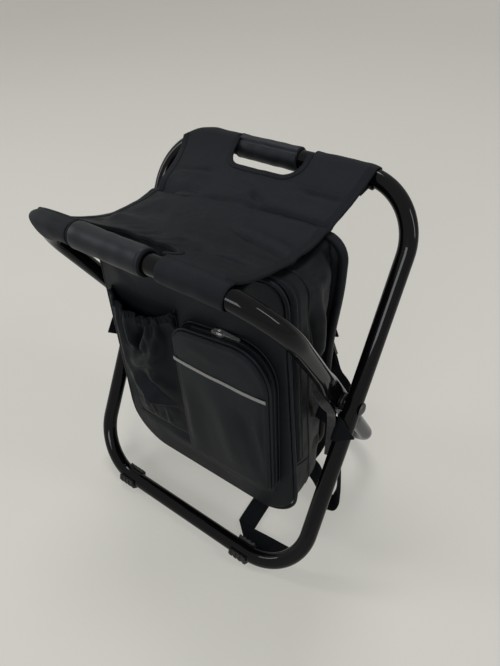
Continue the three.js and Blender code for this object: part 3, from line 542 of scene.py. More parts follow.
def cloth_area(piece: Piece, flat: Sequence[float]) -> float:
    """A sheet's area in square metres, at most that of its flat size.

    Args:
        piece: The sheet, before it is thickened or after.
        flat: Its flat width and length in metres.

    Returns:
        The area.
    """
    areas = np.zeros(len(piece.data.polygons), np.float32)
    piece.data.polygons.foreach_get("area", areas)
    return min(float(areas.sum(dtype=float)), flat[0] * flat[1])


# Shader nodes


COOL = (0.74, 0.83, 1.0, 1.0)  # tint of black cloth's and paint's shine


class Value:
    """A shader value. Arithmetic on it adds Math nodes to its graph."""

    def __init__(self, graph: "Graph", socket: bpy.types.NodeSocket) -> None:
        """Keeps the graph and the output socket."""
        self.graph = graph
        self.socket = socket

    def _math(self, operation: str, *operands: object) -> "Value":
        """Adds one Math node on values or numbers, in order."""
        return self.graph.node("ShaderNodeMath", {"operation": operation}, dict(enumerate(operands)))[0]

    def __add__(self, other: object) -> "Value":
        """Sum."""
        return self._math("ADD", self, other)

    __radd__ = __add__

    def __sub__(self, other: object) -> "Value":
        """Difference."""
        return self._math("SUBTRACT", self, other)

    def __rsub__(self, other: object) -> "Value":
        """Difference from a number."""
        return self._math("SUBTRACT", other, self)

    def __mul__(self, other: object) -> "Value":
        """Product."""
        return self._math("MULTIPLY", self, other)

    __rmul__ = __mul__

    def __truediv__(self, other: object) -> "Value":
        """Quotient."""
        return self._math("DIVIDE", self, other)

    def __abs__(self) -> "Value":
        """Size without sign."""
        return self._math("ABSOLUTE", self)

    def sin(self) -> "Value":
        """Sine."""
        return self._math("SINE", self)

    def fract(self) -> "Value":
        """Part after the whole number."""
        return self._math("FRACT", self)

    def most(self, other: object) -> "Value":
        """The greater of two values."""
        return self._math("MAXIMUM", self, other)

    def between(self, low: float, high: float) -> "Value":
        """Smooth step from 0 at low to 1 at high."""
        step = {"interpolation_type": "SMOOTHSTEP"}
        return self.graph.node("ShaderNodeMapRange", step, {0: self, 1: low, 2: high, 3: 0.0, 4: 1.0})[0]


class Outputs:
    """A node's outputs, by name or number."""

    def __init__(self, graph: "Graph", node: bpy.types.Node) -> None:
        """Keeps the graph and the node."""
        self.graph = graph
        self.node = node

    def __getitem__(self, key: object) -> Value:
        """The output as a value."""
        return Value(self.graph, self.node.outputs[key])


class Graph:
    """A material's node tree."""

    def __init__(self, name: str) -> None:
        """Starts an empty material.

        Args:
            name: The material's name.
        """
        self.material = bpy.data.materials.new(name)
        self.material.use_nodes = True
        self.tree = self.material.node_tree
        self.tree.nodes.clear()

    def node(self, kind: str, settings: dict, inputs: dict) -> Outputs:
        """Adds any node.

        Args:
            kind: The node's type.
            settings: Its properties, set first.
            inputs: Values, numbers or links of its sockets, by name or number.

        Returns:
            The node's outputs.
        """
        node = self.tree.nodes.new(kind)
        for key, value in settings.items():
            setattr(node, key, value)
        for key, value in inputs.items():
            if isinstance(value, Value):
                self.tree.links.new(value.socket, node.inputs[key])
            else:
                node.inputs[key].default_value = value
        return Outputs(self, node)

    def place(self) -> Value:
        """Object coordinates, in metres."""
        return self.node("ShaderNodeTexCoord", {}, {})["Object"]

    def cloth(self) -> tuple[Value, Value]:
        """The piece's own cloth coordinates, in metres.

        Returns:
            The two coordinates.
        """
        uv = self.node("ShaderNodeUVMap", {"uv_map": "cloth"}, {})["UV"]
        parts = self.node("ShaderNodeSeparateXYZ", {}, {0: uv})
        return parts["X"], parts["Y"]

    def noise(self, scale: float, detail: float = 3.0, rough: float = 0.55) -> Value:
        """Noise from 0 to 1 over the object, with scale in waves per metre."""
        inputs = {"Vector": self.place(), "Scale": scale, "Detail": detail, "Roughness": rough}
        return self.node("ShaderNodeTexNoise", {}, inputs)["Fac"]

    def bump(self, height: Value, distance: float) -> Value:
        """Normal from a height, with the distance in metres that a height of 1 stands for."""
        relief = {"Height": height, "Distance": distance, "Strength": 1.0}
        return self.node("ShaderNodeBump", {}, relief)["Normal"]

    def finished(self, shader: Value) -> Material:
        """Ends the graph in a shader."""
        self.node("ShaderNodeOutputMaterial", {}, {"Surface": shader})
        return self.material

    def seen(self) -> Value:
        """One for camera, glossy and transmission rays, which see the pale surroundings, and else zero."""
        rays = self.node("ShaderNodeLightPath", {}, {})
        return rays["Is Camera Ray"].most(rays["Is Glossy Ray"]).most(rays["Is Transmission Ray"])


class SkyGraph(Graph):
    """The world's node tree."""

    def __init__(self, world: bpy.types.World) -> None:
        """Starts an empty world.

        Args:
            world: The world that it lights.
        """
        world.use_nodes = True
        self.tree = world.node_tree
        self.tree.nodes.clear()


@dataclass(frozen=True)
class Finish:
    """A named finish that varies between two tones. Its material is made once."""

    name: str
    colour: Colour
    other: Colour

    def material(self) -> Material:
        """The finish's material."""
        return bpy.data.materials.get(self.name) or self.shade(Graph(self.name))

    def shade(self, graph: Graph) -> Material:
        """Ends the graph in a Principled shader."""
        return graph.finished(self.lit(graph))

    def lit(self, graph: Graph) -> Value:
        """The Principled shader with this finish's sockets."""
        return graph.node("ShaderNodeBsdfPrincipled", {}, self.sockets(graph))["BSDF"]

    def sockets(self, graph: Graph) -> dict:
        """The Principled shader's sockets by name; each finish has its own."""
        raise NotImplementedError

    def tone(self, graph: Graph, factor: Value) -> Value:
        """The colour, mixed towards the other tone by a factor."""
        tones = {0: factor, 6: (*self.colour, 1.0), 7: (*self.other, 1.0)}
        return graph.node("ShaderNodeMix", {"data_type": "RGBA"}, tones)[2]


@dataclass(frozen=True)
class WovenCloth(Finish):
    """Plain-woven polyester with thread relief, faded patches and a painted highlight on the threads' crests.
    """

    pitch: float
    relief: float
    roughness: float
    stitch: float = 0.0  # distance of stitch lines from the cloth's two long edges
    width: float = 0.0  # the cloth's width, where it has stitch lines

    def sockets(self, graph: Graph) -> dict:
        """Threads rise as the product of two sines, which also paint light on their crests and shade between
        them; the colour fades by slow noise.

        Args:
            graph: The material's nodes.

        Returns:
            The Principled shader's sockets by name.
        """
        u, v = graph.cloth()
        turn = 2 * math.pi / self.pitch
        thread = (u * turn).sin() * (v * turn).sin()
        patch = graph.noise(26.0)
        lint = graph.noise(900.0, 2.0).between(0.62, 0.8)
        height = thread * 0.5 + graph.noise(420.0, 2.0) * 0.6
        if self.stitch:
            away = abs(abs(u - self.width / 2) - (self.width / 2 - self.stitch))
            line = (away * -1.0 + 0.0005).between(0.0, 0.0003)
            dash = (v / 0.0032).fract().between(0.25, 0.4)
            height = height + line * dash * 2.5 - line * 1.2
        return {
            # The thread term is painted light: lighter on the threads' crests, with painted shade between
            # them. Patch fades the cloth and lint lightens it.
            "Base Color": self.tone(graph, (patch * 0.75 + thread * 0.16 + lint * 0.25).between(0.15, 0.95)),
            "Roughness": self.roughness + patch * 0.16 - 0.06,
            "Specular IOR Level": 0.15,
            "Specular Tint": COOL,
            "Normal": graph.bump(height, self.relief),
        }


@dataclass(frozen=True)
class RibbedWebbing(Finish):
    """Narrow-woven strap with ribs across it and a herringbone of threads."""

    rib: float

    def sockets(self, graph: Graph) -> dict:
        """Ribs are a sine along the strap, shifted by a triangle wave across it; the colour is painted
        lighter on their crests.

        Args:
            graph: The material's nodes.

        Returns:
            The Principled shader's sockets by name.
        """
        u, v = graph.cloth()
        chevron = abs((u / 0.006).fract() - 0.5)
        rib = ((v / self.rib + chevron) * (2 * math.pi)).sin()
        fuzz = graph.noise(1400.0, 2.0)
        wear = graph.noise(60.0)
        return {
            # The rib term paints light on the ribs' crests and shade in their hollows; wear and fuzz vary the
            # strap's own tone.
            "Base Color": self.tone(graph, (wear * 0.7 + rib * 0.2 + fuzz * 0.3).between(0.3, 1.0)),
            "Roughness": 0.72 + wear * 0.2,
            "Specular IOR Level": 0.2,
            "Specular Tint": COOL,
            "Normal": graph.bump(rib * 0.6 + fuzz * 0.7, 0.00022),
        }


@dataclass(frozen=True)
class FuzzyLoop(Finish):
    """Brushed loop tape of a hook-and-loop tie."""

    def sockets(self, graph: Graph) -> dict:
        """Fine noise lifts the loops; the same noise paints them lighter at their tips and darker between, as
        painted light and shade.

        Args:
            graph: The material's nodes.

        Returns:
            The Principled shader's sockets by name.
        """
        loops = graph.noise(1500.0, 4.0, 0.7)
        clump = graph.noise(220.0)
        return {
            # Colour follows the loops' height: a painted highlight on their tips and painted shade in the
            # pile.
            "Base Color": self.tone(graph, (loops * 0.8 + clump * 0.5).between(0.4, 0.95)),
            "Roughness": 0.85 + clump * 0.1,
            "Sheen Weight": 0.2,
            "Sheen Roughness": 0.35,
            "Normal": graph.bump(loops + clump * 0.5, 0.0005),
        }


@dataclass(frozen=True)
class GlossPaint(Finish):
    """Gloss powder paint: faint orange peel, dust and a clear hard surface."""

    roughness: float = 0.12

    def sockets(self, graph: Graph) -> dict:
        """Slow noise makes the orange peel, and speckled noise the dust that dulls it.

        Args:
            graph: The material's nodes.

        Returns:
            The Principled shader's sockets by name.
        """
        peel = graph.noise(190.0, 1.0)
        speck = graph.noise(750.0, 2.0).between(0.66, 0.82)
        haze = graph.noise(14.0)
        return {
            "Base Color": self.tone(graph, (speck * 0.5 + haze * 0.35).between(0.1, 0.9)),
            "Roughness": self.roughness + haze * 0.08 + speck * 0.2,
            "Coat Weight": 0.34 - speck * 0.2,
            "Coat Roughness": 0.02,
            "Coat Tint": COOL,
            "Specular IOR Level": 0.03,
            "Specular Tint": COOL,
            "Normal": graph.bump(peel, 0.00006),
        }


@dataclass(frozen=True)
class GripFoam(Finish):
    """Closed-cell foam sleeve with a smooth moulded skin, fine cells and handling marks."""

    roughness: float = 0.42

    def sockets(self, graph: Graph) -> dict:
        """Cells come from a Voronoi distance, slow noise marks rubbed patches, and the cut ends are dark.

        Args:
            graph: The material's nodes.

        Returns:
            The Principled shader's sockets by name.
        """
        _, inset = graph.cloth()
        skin = inset.between(0.0008, 0.0026)
        grain = {"Vector": graph.place(), "Scale": 1100.0, "Randomness": 1.0}
        cells = graph.node("ShaderNodeTexVoronoi", {"feature": "F1"}, grain)["Distance"]
        rubbed = graph.noise(38.0)
        return {
            "Base Color": self.tone(graph, (rubbed * 0.8 + cells * 0.4).between(0.2, 0.95) * skin),
            "Roughness": self.roughness + rubbed * 0.16 + (1.0 - skin) * 0.3,
            "Sheen Weight": 0.03,
            "Sheen Roughness": 0.5,
            "Specular IOR Level": 0.3,
            "Specular Tint": COOL,
            "Normal": graph.bump(cells * 0.5 + graph.noise(160.0) * 0.8, 0.00016),
        }


@dataclass(frozen=True)
class Moulded(Finish):
    """Moulded nylon or rubber with a fine spark-eroded grain and scuffs."""

    roughness: float

    def sockets(self, graph: Graph) -> dict:
        """Fine noise is the mould's grain, and thresholded slow noise the scuffs.

        Args:
            graph: The material's nodes.

        Returns:
            The Principled shader's sockets by name.
        """
        grain = graph.noise(900.0, 2.0)
        scuff = graph.noise(120.0, 5.0, 0.65).between(0.56, 0.72)
        return {
            "Base Color": self.tone(graph, scuff * 0.6 + grain * 0.2),
            "Roughness": self.roughness + grain * 0.12 + scuff * 0.1,
            "Normal": graph.bump(grain, 0.00008),
        }


@dataclass(frozen=True)
class ZipCoil(Finish):
    """Nylon zip coil: slanted turns along the zip, with painted light on each turn."""

    pitch: float = 0.0016

    def sockets(self, graph: Graph) -> dict:
        """Turns are a sine along the zip, shifted by the distance across it; the colour follows them, a
        painted highlight on each turn's crest and painted shade between turns.

        Args:
            graph: The material's nodes.

        Returns:
            The Principled shader's sockets by name.
        """
        u, v = graph.cloth()
        turn = ((v / self.pitch + u / 0.004) * (2 * math.pi)).sin()
        return {
            # The colour is painted light: lighter on each turn's crest, with painted shade between the turns.
            "Base Color": self.tone(graph, turn * 0.5 + 0.5),
            "Roughness": 0.38 + graph.noise(300.0) * 0.12,
            "Specular IOR Level": 0.2,
            "Specular Tint": COOL,
            "Normal": graph.bump(turn, 0.00035),
        }


@dataclass(frozen=True)
class BrightMetal(Finish):
    """Plated or rolled metal: fine scratches over a bright base, tarnished in patches."""

    roughness: float
    crinkle: float = 0.0  # height of a thin film's creases, in metres

    def sockets(self, graph: Graph) -> dict:
        """Stretched noise gives the scratches, and rough noise the creases of thin film.

        Args:
            graph: The material's nodes.

        Returns:
            The Principled shader's sockets by name.
        """
        stretch = {"Vector": graph.place(), "Scale": (60.0, 900.0, 900.0)}
        along = graph.node("ShaderNodeMapping", {}, stretch)["Vector"]
        scratch = graph.node("ShaderNodeTexNoise", {}, {"Vector": along, "Scale": 1.0, "Detail": 3.0})["Fac"]
        patch = graph.noise(90.0)
        height = scratch
        if self.crinkle:
            height = scratch * 0.1 + graph.noise(95.0, 5.0, 0.7)
        return {
            "Base Color": self.tone(graph, patch.between(0.35, 0.8)),
            "Metallic": 1.0,
            "Roughness": self.roughness + scratch * 0.14 + patch * 0.06,
            "Normal": graph.bump(height, self.crinkle or 0.00004),
        }


@dataclass(frozen=True)
class BeadedTape(Finish):
    """Light reflective tape with a fine grid of glass beads and worn edges."""

    bead: float = 0.0008

    def sockets(self, graph: Graph) -> dict:
        """A fine grid of sines carries the beads, and noise the wear.

        Args:
            graph: The material's nodes.

        Returns:
            The Principled shader's sockets by name.
        """
        u, v = graph.cloth()
        turn = 2 * math.pi / self.bead
        beads = (u * turn).sin() * (v * turn).sin()
        wear = graph.noise(330.0, 4.0).between(0.5, 0.75)
        return {
            "Base Color": self.tone(graph, wear * 0.8),
            "Roughness": 0.4 + wear * 0.3,
            "Specular IOR Level": 0.6,
            "Normal": graph.bump(beads * 0.4 + wear, 0.00008),
        }


@dataclass(frozen=True)
class PaleFloor(Finish):
    """The floor: a pale screed with slight clouding, part of whose paleness is its own to the camera."""

    pale: Colour
    share: float = 0.5

    def sockets(self, graph: Graph) -> dict:
        """Slow noise clouds the colour.

        Args:
            graph: The material's nodes.

        Returns:
            The Principled shader's sockets by name.
        """
        cloud = graph.noise(2.2, 4.0)
        return {
            "Base Color": self.tone(graph, cloud),
            "Roughness": 0.42 + cloud * 0.15,
            "Specular IOR Level": 0.3,
            "Normal": graph.bump(graph.noise(160.0), 0.00015),
        }

    def shade(self, graph: Graph) -> Material:
        """Camera, glossy and transmission rays see the lit floor mixed with an even tone.

        Args:
            graph: The material's nodes.

        Returns:
            The finished material.
        """
        even = graph.node("ShaderNodeEmission", {}, {"Color": (*self.pale, 1.0)})["Emission"]
        mix = {0: graph.seen() * self.share, 1: self.lit(graph), 2: even}
        return graph.finished(graph.node("ShaderNodeMixShader", {}, mix)[0])


@dataclass(frozen=True)
class Finishes:
    """Every finish on the stool."""

    paint: Finish = GlossPaint("gloss_black_paint", (0.003, 0.003, 0.0035), (0.014, 0.014, 0.016))
    # In the woven cloths below, the second tone holds faded patches, lint and the painted highlight on thread
    # crests.
    seat: Finish = WovenCloth(
        "seat_canvas", (0.0062, 0.0071, 0.0086), (0.014, 0.0158, 0.0188), 0.0013, 0.00016, 0.55
    )
    seat_tape: Finish = WovenCloth(
        "seat_binding_tape", (0.0052, 0.006, 0.0073), (0.0115, 0.0131, 0.0157),
        0.0009, 0.00014, 0.6, 0.0018, 0.0065,
    )
    bag: Finish = WovenCloth(
        "bag_oxford_cloth", (0.0058, 0.0066, 0.0081), (0.0135, 0.0153, 0.0183), 0.0010, 0.00013, 0.42
    )
    pouch: Finish = WovenCloth(
        "pocket_cloth", (0.0035, 0.004, 0.005), (0.008, 0.0091, 0.011), 0.0010, 0.00013, 0.4
    )
    piping: Finish = WovenCloth(
        "bag_piping", (0.0068, 0.0077, 0.0094), (0.0155, 0.0175, 0.021), 0.0010, 0.0001, 0.42
    )
    # In the ribbed webbings below, the second tone holds wear, fuzz and the painted highlight on rib crests.
    elastic: Finish = RibbedWebbing(
        "gathered_elastic", (0.0036, 0.0043, 0.0053), (0.01, 0.0116, 0.014), 0.0018
    )
    webbing: Finish = RibbedWebbing(
        "strap_webbing", (0.0043, 0.0048, 0.0056), (0.012, 0.0132, 0.0152), 0.0022
    )
    hook: Finish = RibbedWebbing("tie_hook_tape", (0.003, 0.0034, 0.004), (0.007, 0.0078, 0.009), 0.0014)
    # The loop tape's second tone is the painted highlight on its loop tips.
    loop: Finish = FuzzyLoop("tie_loop_tape", (0.016, 0.016, 0.017), (0.07, 0.07, 0.073))
    foam: Finish = GripFoam("grip_foam", (0.002, 0.0022, 0.0026), (0.005, 0.0056, 0.0066))
    rubber: Finish = Moulded("foot_rubber", (0.007, 0.007, 0.007), (0.025, 0.025, 0.025), 0.62)
    nylon: Finish = Moulded("moulded_nylon", (0.006, 0.006, 0.007), (0.025, 0.025, 0.026), 0.42)
    # The coil's second tone is the painted highlight on its turns' crests.
    coil: Finish = ZipCoil("zip_coil", (0.0035, 0.0039, 0.0046), (0.016, 0.0175, 0.02))
    steel: Finish = BrightMetal("plated_steel", (0.88, 0.88, 0.88), (0.7, 0.7, 0.69), 0.3)
    zinc: Finish = BrightMetal("dull_zinc", (0.1, 0.1, 0.105), (0.05, 0.05, 0.05), 0.4)
    foil: Finish = BrightMetal("foil_lining", (0.78, 0.79, 0.8), (0.6, 0.61, 0.63), 0.2, 0.0012)
    stripe: Finish = BeadedTape("reflective_tape", (0.24, 0.24, 0.24), (0.15, 0.15, 0.15))
    floor: Finish = PaleFloor("pale_floor", (0.86, 0.85, 0.80), (0.81, 0.80, 0.75), (0.64, 0.625, 0.575))


FINISH = Finishes()


# The stool's shared lines


@dataclass(frozen=True)
class Layout:
    """Driving sizes in millimetres, and the lines that several pieces share."""

    tube_r: float = 9.5
    outer_half: float = 162.5
    leg_step: float = 17.0
    bar_y: float = 119.0
    bar_z: float = 407.0
    foot_z: float = 12.5
    bend_r: float = 67.0
    sag: float = 37.0
    droop: float = 12.5  # the left edge hangs this much lower
    seat_end: tuple[float, float] = (112.66, 417.19)  # where the cloth leaves the rear bar, y and z
    bag_half: float = 125.0
    bag_waist: float = 9.0
    bag_taper: tuple[float, float] = (7.5, -5.0)  # lean of the sides out to the bottom, at front and back
    bag_lift: float = 40.0
    bag_gap: float = 12.0
    bag_corners: tuple[float, ...] = (24.0, 45.0, 45.0, 45.0)  # top right, then round to the left
    bag_front: float = -66.0
    panel_back: float = -60.0
    gusset_front: float = -59.7
    seam_y: float = -27.2
    gusset_back: float = 40.0
    zip_seam: float = 142.0
    zip_y: float = -50.7  # middle of the main zip
    crease: float = 92.0
    corner_rise: float = 8.5  # the bag's right top corner stands up past the seat
    side_pinch: float = 5.0  # the bag's sides sink in by this at mid depth
    belly: float = 3.0  # its underside hangs down by this

    @property
    def inner_half(self) -> float:
        """Centre line of the inner legs."""
        return self.outer_half - self.leg_step

    @property
    def pivot_z(self) -> float:
        """Height of the pivots, midway between the bars."""
        return (self.foot_z + self.bar_z) / 2

    @property
    def tilt(self) -> float:
        """Lean of the legs from upright."""
        return math.atan2(2 * self.bar_y, self.bar_z - self.foot_z)

    @property
    def loop_length(self) -> float:
        """Loop's length between its two bars."""
        return math.hypot(2 * self.bar_y, self.bar_z - self.foot_z)

    def leaning(self, points: Array, body: Body) -> Array:
        """Points drawn upright about the pivot, leaned as a loop leans.

        The outer loop turns by minus the tilt about X and the inner one by plus the tilt.

        Args:
            points: Points in the loop's own plane.
            body: The loop.

        Returns:
            The points in the frame.
        """
        a = -self.tilt if body is Body.OUTER else self.tilt
        x, y, z = np.moveaxis(points, -1, 0)
        turned = (x, y * math.cos(a) - z * math.sin(a), y * math.sin(a) + z * math.cos(a) + self.pivot_z)
        return np.stack(turned, axis=-1)

    def bend_drop(self, x: Array, half: float) -> Array:
        """How far a loop's centre line has bent away from its bar at x: a circle's sagitta."""
        d = np.clip(np.abs(x) - (half - self.bend_r), 0.0, self.bend_r)
        return self.bend_r - np.sqrt(self.bend_r**2 - d**2)

    def seat_hang(self, x: Array, y: Array) -> Array:
        """Height of the seat's cloth before its folds.

        It is a parabola between the bars, less a droop that grows with the square of the distance to
        the left and is full almost from bar to bar.

        Args:
            x: Across.
            y: From front to back.

        Returns:
            Heights.
        """
        share = np.clip(np.abs(y) / self.seat_end[0], 0.0, 1.0)
        left = np.clip((10.0 - x) / 138.0, 0.0, 1.2) ** 2
        return self.seat_end[1] - self.sag * (1 - share**2) - self.droop * left * (1 - share**6)

    def bag_top(self, y: float) -> float:
        """Top of the bag: a parabola that dips with the seat, less the gap."""
        return self.seat_end[1] - self.sag * (1 - (y / self.seat_end[0]) ** 2) - self.bag_gap

    def bag_width(self, y: float) -> float:
        """Half the bag's width, drawn in towards the back."""
        return self.bag_half - self.bag_waist * float(ramp(y, self.seam_y, self.gusset_back))

    def bag_outline(self, y: float, inset: float, count: int) -> Array:
        """Round-cornered outline of the bag at a depth, with sides that lean.

        Args:
            y: Depth.
            inset: Margin inside the outline.
            count: Points round it.

        Returns:
            Points (x, z).
        """
        half, top = self.bag_width(y), self.bag_top(y)
        x, z = (inset - half, half - inset), (self.bag_lift + inset, top - inset)
        outline = rounded_outline(x, z, [r - inset for r in self.bag_corners], count)
        middle = (self.bag_lift + top) / 2
        share = min(max((y - self.gusset_front) / (self.gusset_back - self.gusset_front), 0.0), 1.0)
        lean = blend(*self.bag_taper, share) / half
        outline[:, 0] *= 1 + lean * (middle - outline[:, 1]) / (middle - self.bag_lift)
        return outline

    def bag_shape(self, points: Array) -> Array:
        """Soft shape of the whole bag.

        The right top corner rises where it stands clear of the seat, the sides sink in between the stiff
        front and back, most at mid depth, the back narrows low down, and the top gives way under the
        seat: a smooth maximum takes off what would reach above it.

        Args:
            points: Points on the plain bag.

        Returns:
            The moved points.
        """
        x, y, z = np.moveaxis(points, -1, 0)
        rise = ramp(x, 66.0, 104.0) * ramp(z, 300.0, 368.0) * (1 - 0.5 * ramp(y, -40.0, 44.0))
        side = ramp(np.abs(x), 60.0, 120.0) * bell(z, 232.0, 95.0) * band(y, -52.0, 4.0, 10.0, 46.0)
        under = bell(x, 0.0, 90.0) * (1 - ramp(z, 40.0, 90.0)) * band(y, -66.0, -20.0, 10.0, 48.0)
        waist = (3.0 + 6.0 * (1 - ramp(z, 235.0, 335.0))) * ramp(y, -10.0, 40.0)
        waist = waist + 7.0 * (1 - ramp(z, 44.0, 105.0)) * (1 - ramp(y, -60.0, -10.0))
        flank = np.sign(x) * ramp(np.abs(x), 40.0, 115.0) * (self.side_pinch * side + waist)
        top = z + self.corner_rise * rise - self.belly * under
        over = top - self.seat_hang(x, y) + 6.0
        return np.stack([x - flank, y, top - 2.0 * np.logaddexp(0.0, over / 2.0)], axis=-1)


LAYOUT = Layout()


# Sub-assemblies


@dataclass
class TubeFrame:
    """The two bent tubes, each a closed loop."""

    flat_t: float = 10.0
    flat_half: float = 42.0
    flat_runout: float = 45.0
    sides: int = 40
    bend_rows: int = 28
    leg_rows: int = 60

    def _stations(self, half: float) -> Array:
        """Centre line of a loop: x, z and the outward heading, along four bends and two legs.

        Args:
            half: Centre line of its legs.

        Returns:
            Rows of x, z and heading.
        """
        side, reach = half - LAYOUT.bend_r, LAYOUT.loop_length / 2 - LAYOUT.bend_r
        rows = []
        for k, (sx, sz) in enumerate(((1, 1), (-1, 1), (-1, -1), (1, -1))):
            a = np.linspace(0.0, QUARTER, self.bend_rows) + k * QUARTER
            bend = sx * side + LAYOUT.bend_r * np.cos(a), sz * reach + LAYOUT.bend_r * np.sin(a), a
            rows.append(np.stack(bend, axis=1))
            if sx * sz < 0:
                z = np.linspace(sz * reach, -sz * reach, self.leg_rows)[1:-1]
                leg = np.full(len(z), sx * half), z, np.full(len(z), (k + 1) * QUARTER)
                rows.append(np.stack(leg, axis=1))
        return np.vstack(rows)

    def _tube(self, body: Body, half: float, pressed: bool) -> Array:
        """Rings of a loop.

        A ring is a circle about the centre line. Where the leg is pressed flat its depth falls to the
        flat's thickness, and the wall that this frees moves out to both sides.

        Args:
            body: The loop.
            half: Centre line of its legs.
            pressed: Whether its legs are flattened at the pivot.

        Returns:
            Points by station and side.
        """
        x, z, a = (column[:, None] for column in self._stations(half).T)
        flat = ramp(np.abs(z), self.flat_half + self.flat_runout, self.flat_half) * float(pressed)
        thin = blend(LAYOUT.tube_r, self.flat_t / 2, flat)
        turn = turns(self.sides)
        spread = math.pi * (LAYOUT.tube_r - self.flat_t / 2) / 2 * flat
        out = thin * np.cos(turn)
        across = thin * np.sin(turn) + np.tanh(4 * np.sin(turn)) * spread
        return LAYOUT.leaning(np.stack([x + out * np.cos(a), across, z + out * np.sin(a)], axis=-1), body)

    def build(self) -> None:
        """Makes both tubes."""
        loops = ((Body.OUTER, LAYOUT.outer_half, False), (Body.INNER, LAYOUT.inner_half, True))
        for body, half, pressed in loops:
            piece = Surface(self._tube(body, half, pressed), ring=True, loop=True).build(f"{body.value}_tube")
            dress(piece, FINISH.paint, [body.value], body)


@dataclass(frozen=True)
class Grip:
    """One foam sleeve: its node, its loop, how far it reaches past the node and how low it hangs."""

    node: str
    body: Body
    longer: tuple[float, float]
    hangs: float
    slit: Optional[float]  # where the foam is slit along its length, in degrees from its top


@dataclass
class FoamGrips:
    """Foam sleeves on the two top bars."""

    rim: float = 13.4
    bore: float = 9.8
    rounding: float = 2.0
    lip: float = 1.5  # how far in the bore's surface starts
    sides: int = 72
    fill: float = 0.95
    grips: tuple[Grip, ...] = (
        Grip("front_grip", Body.INNER, (4.0, 0.0), 0.0, None),
        Grip("rear_grip", Body.OUTER, (0.0, 3.0), 1.6, -64.0),
    )

    def _sleeve(self, grip: Grip) -> Array:
        """A sleeve's rings.

        The profile runs along the bore, up a slightly dished end, round the rim's quarter circle and
        along the outside, whose radius swells and dents a little.

        Args:
            grip: The sleeve.

        Returns:
            Points by profile point and side.
        """
        low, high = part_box(grip.node)
        left, right = low.x / MM - grip.longer[0], high.x / MM + grip.longer[1]
        a = np.linspace(0.0, QUARTER, 8)
        rise = np.linspace(self.bore + 0.6, self.rim - self.rounding, 6)
        end = np.concatenate([0.7 * np.sin(np.linspace(0, math.pi, 6)), self.rounding * (1 - np.sin(a))])
        size = np.concatenate([rise, self.rim - self.rounding * (1 - np.cos(a))])
        length = np.linspace(left + self.rounding, right - self.rounding, 46)[1:-1]
        ends = [left + self.lip], left + end, length, (right - end)[::-1], [right - self.lip]
        x = np.concatenate(ends)[:, None]
        bore, outside = [self.bore], np.full(len(length), self.rim)
        r = np.concatenate([bore, size, outside, size[::-1], bore])[:, None]
        turn = turns(self.sides)
        wave = 0.3 * rumple(x, 14.0 * np.cos(turn), 9.0) + 0.35 * rumple(x, 9.0 * np.sin(turn), 22.0)
        if grip.slit is not None:
            past = (turn - math.radians(grip.slit) + math.pi) % (2 * math.pi) - math.pi
            wave = wave - 1.5 * bell(past, 0.0, 0.08) + 0.8 * band(past, 0.0, 0.12, 0.5, 1.6)
        radius = r + (wave - 0.4) * ramp(r, self.rim - 2.0, self.rim)
        rings = np.stack(np.broadcast_arrays(x, radius * np.sin(turn), radius * np.cos(turn)), axis=-1)
        return LAYOUT.leaning(rings + [0.0, 0.0, LAYOUT.loop_length / 2], grip.body) - [0.0, 0.0, grip.hangs]

    def build(self) -> None:
        """Makes both grips; the cloth coordinates give the girth and the distance from the nearer end."""
        for grip in self.grips:
            rings = self._sleeve(grip)
            x = rings[..., 0]
            girth = np.broadcast_to(turns(self.sides) * self.rim, x.shape)
            cloth = np.stack([girth, np.minimum(x - x.min(), x.max() - x)], axis=-1)
            piece = Surface(rings, ring=True, loop=True, cloth=cloth).build(f"{grip.node}_sleeve")
            dress(piece, FINISH.foam, [grip.node], grip.body)


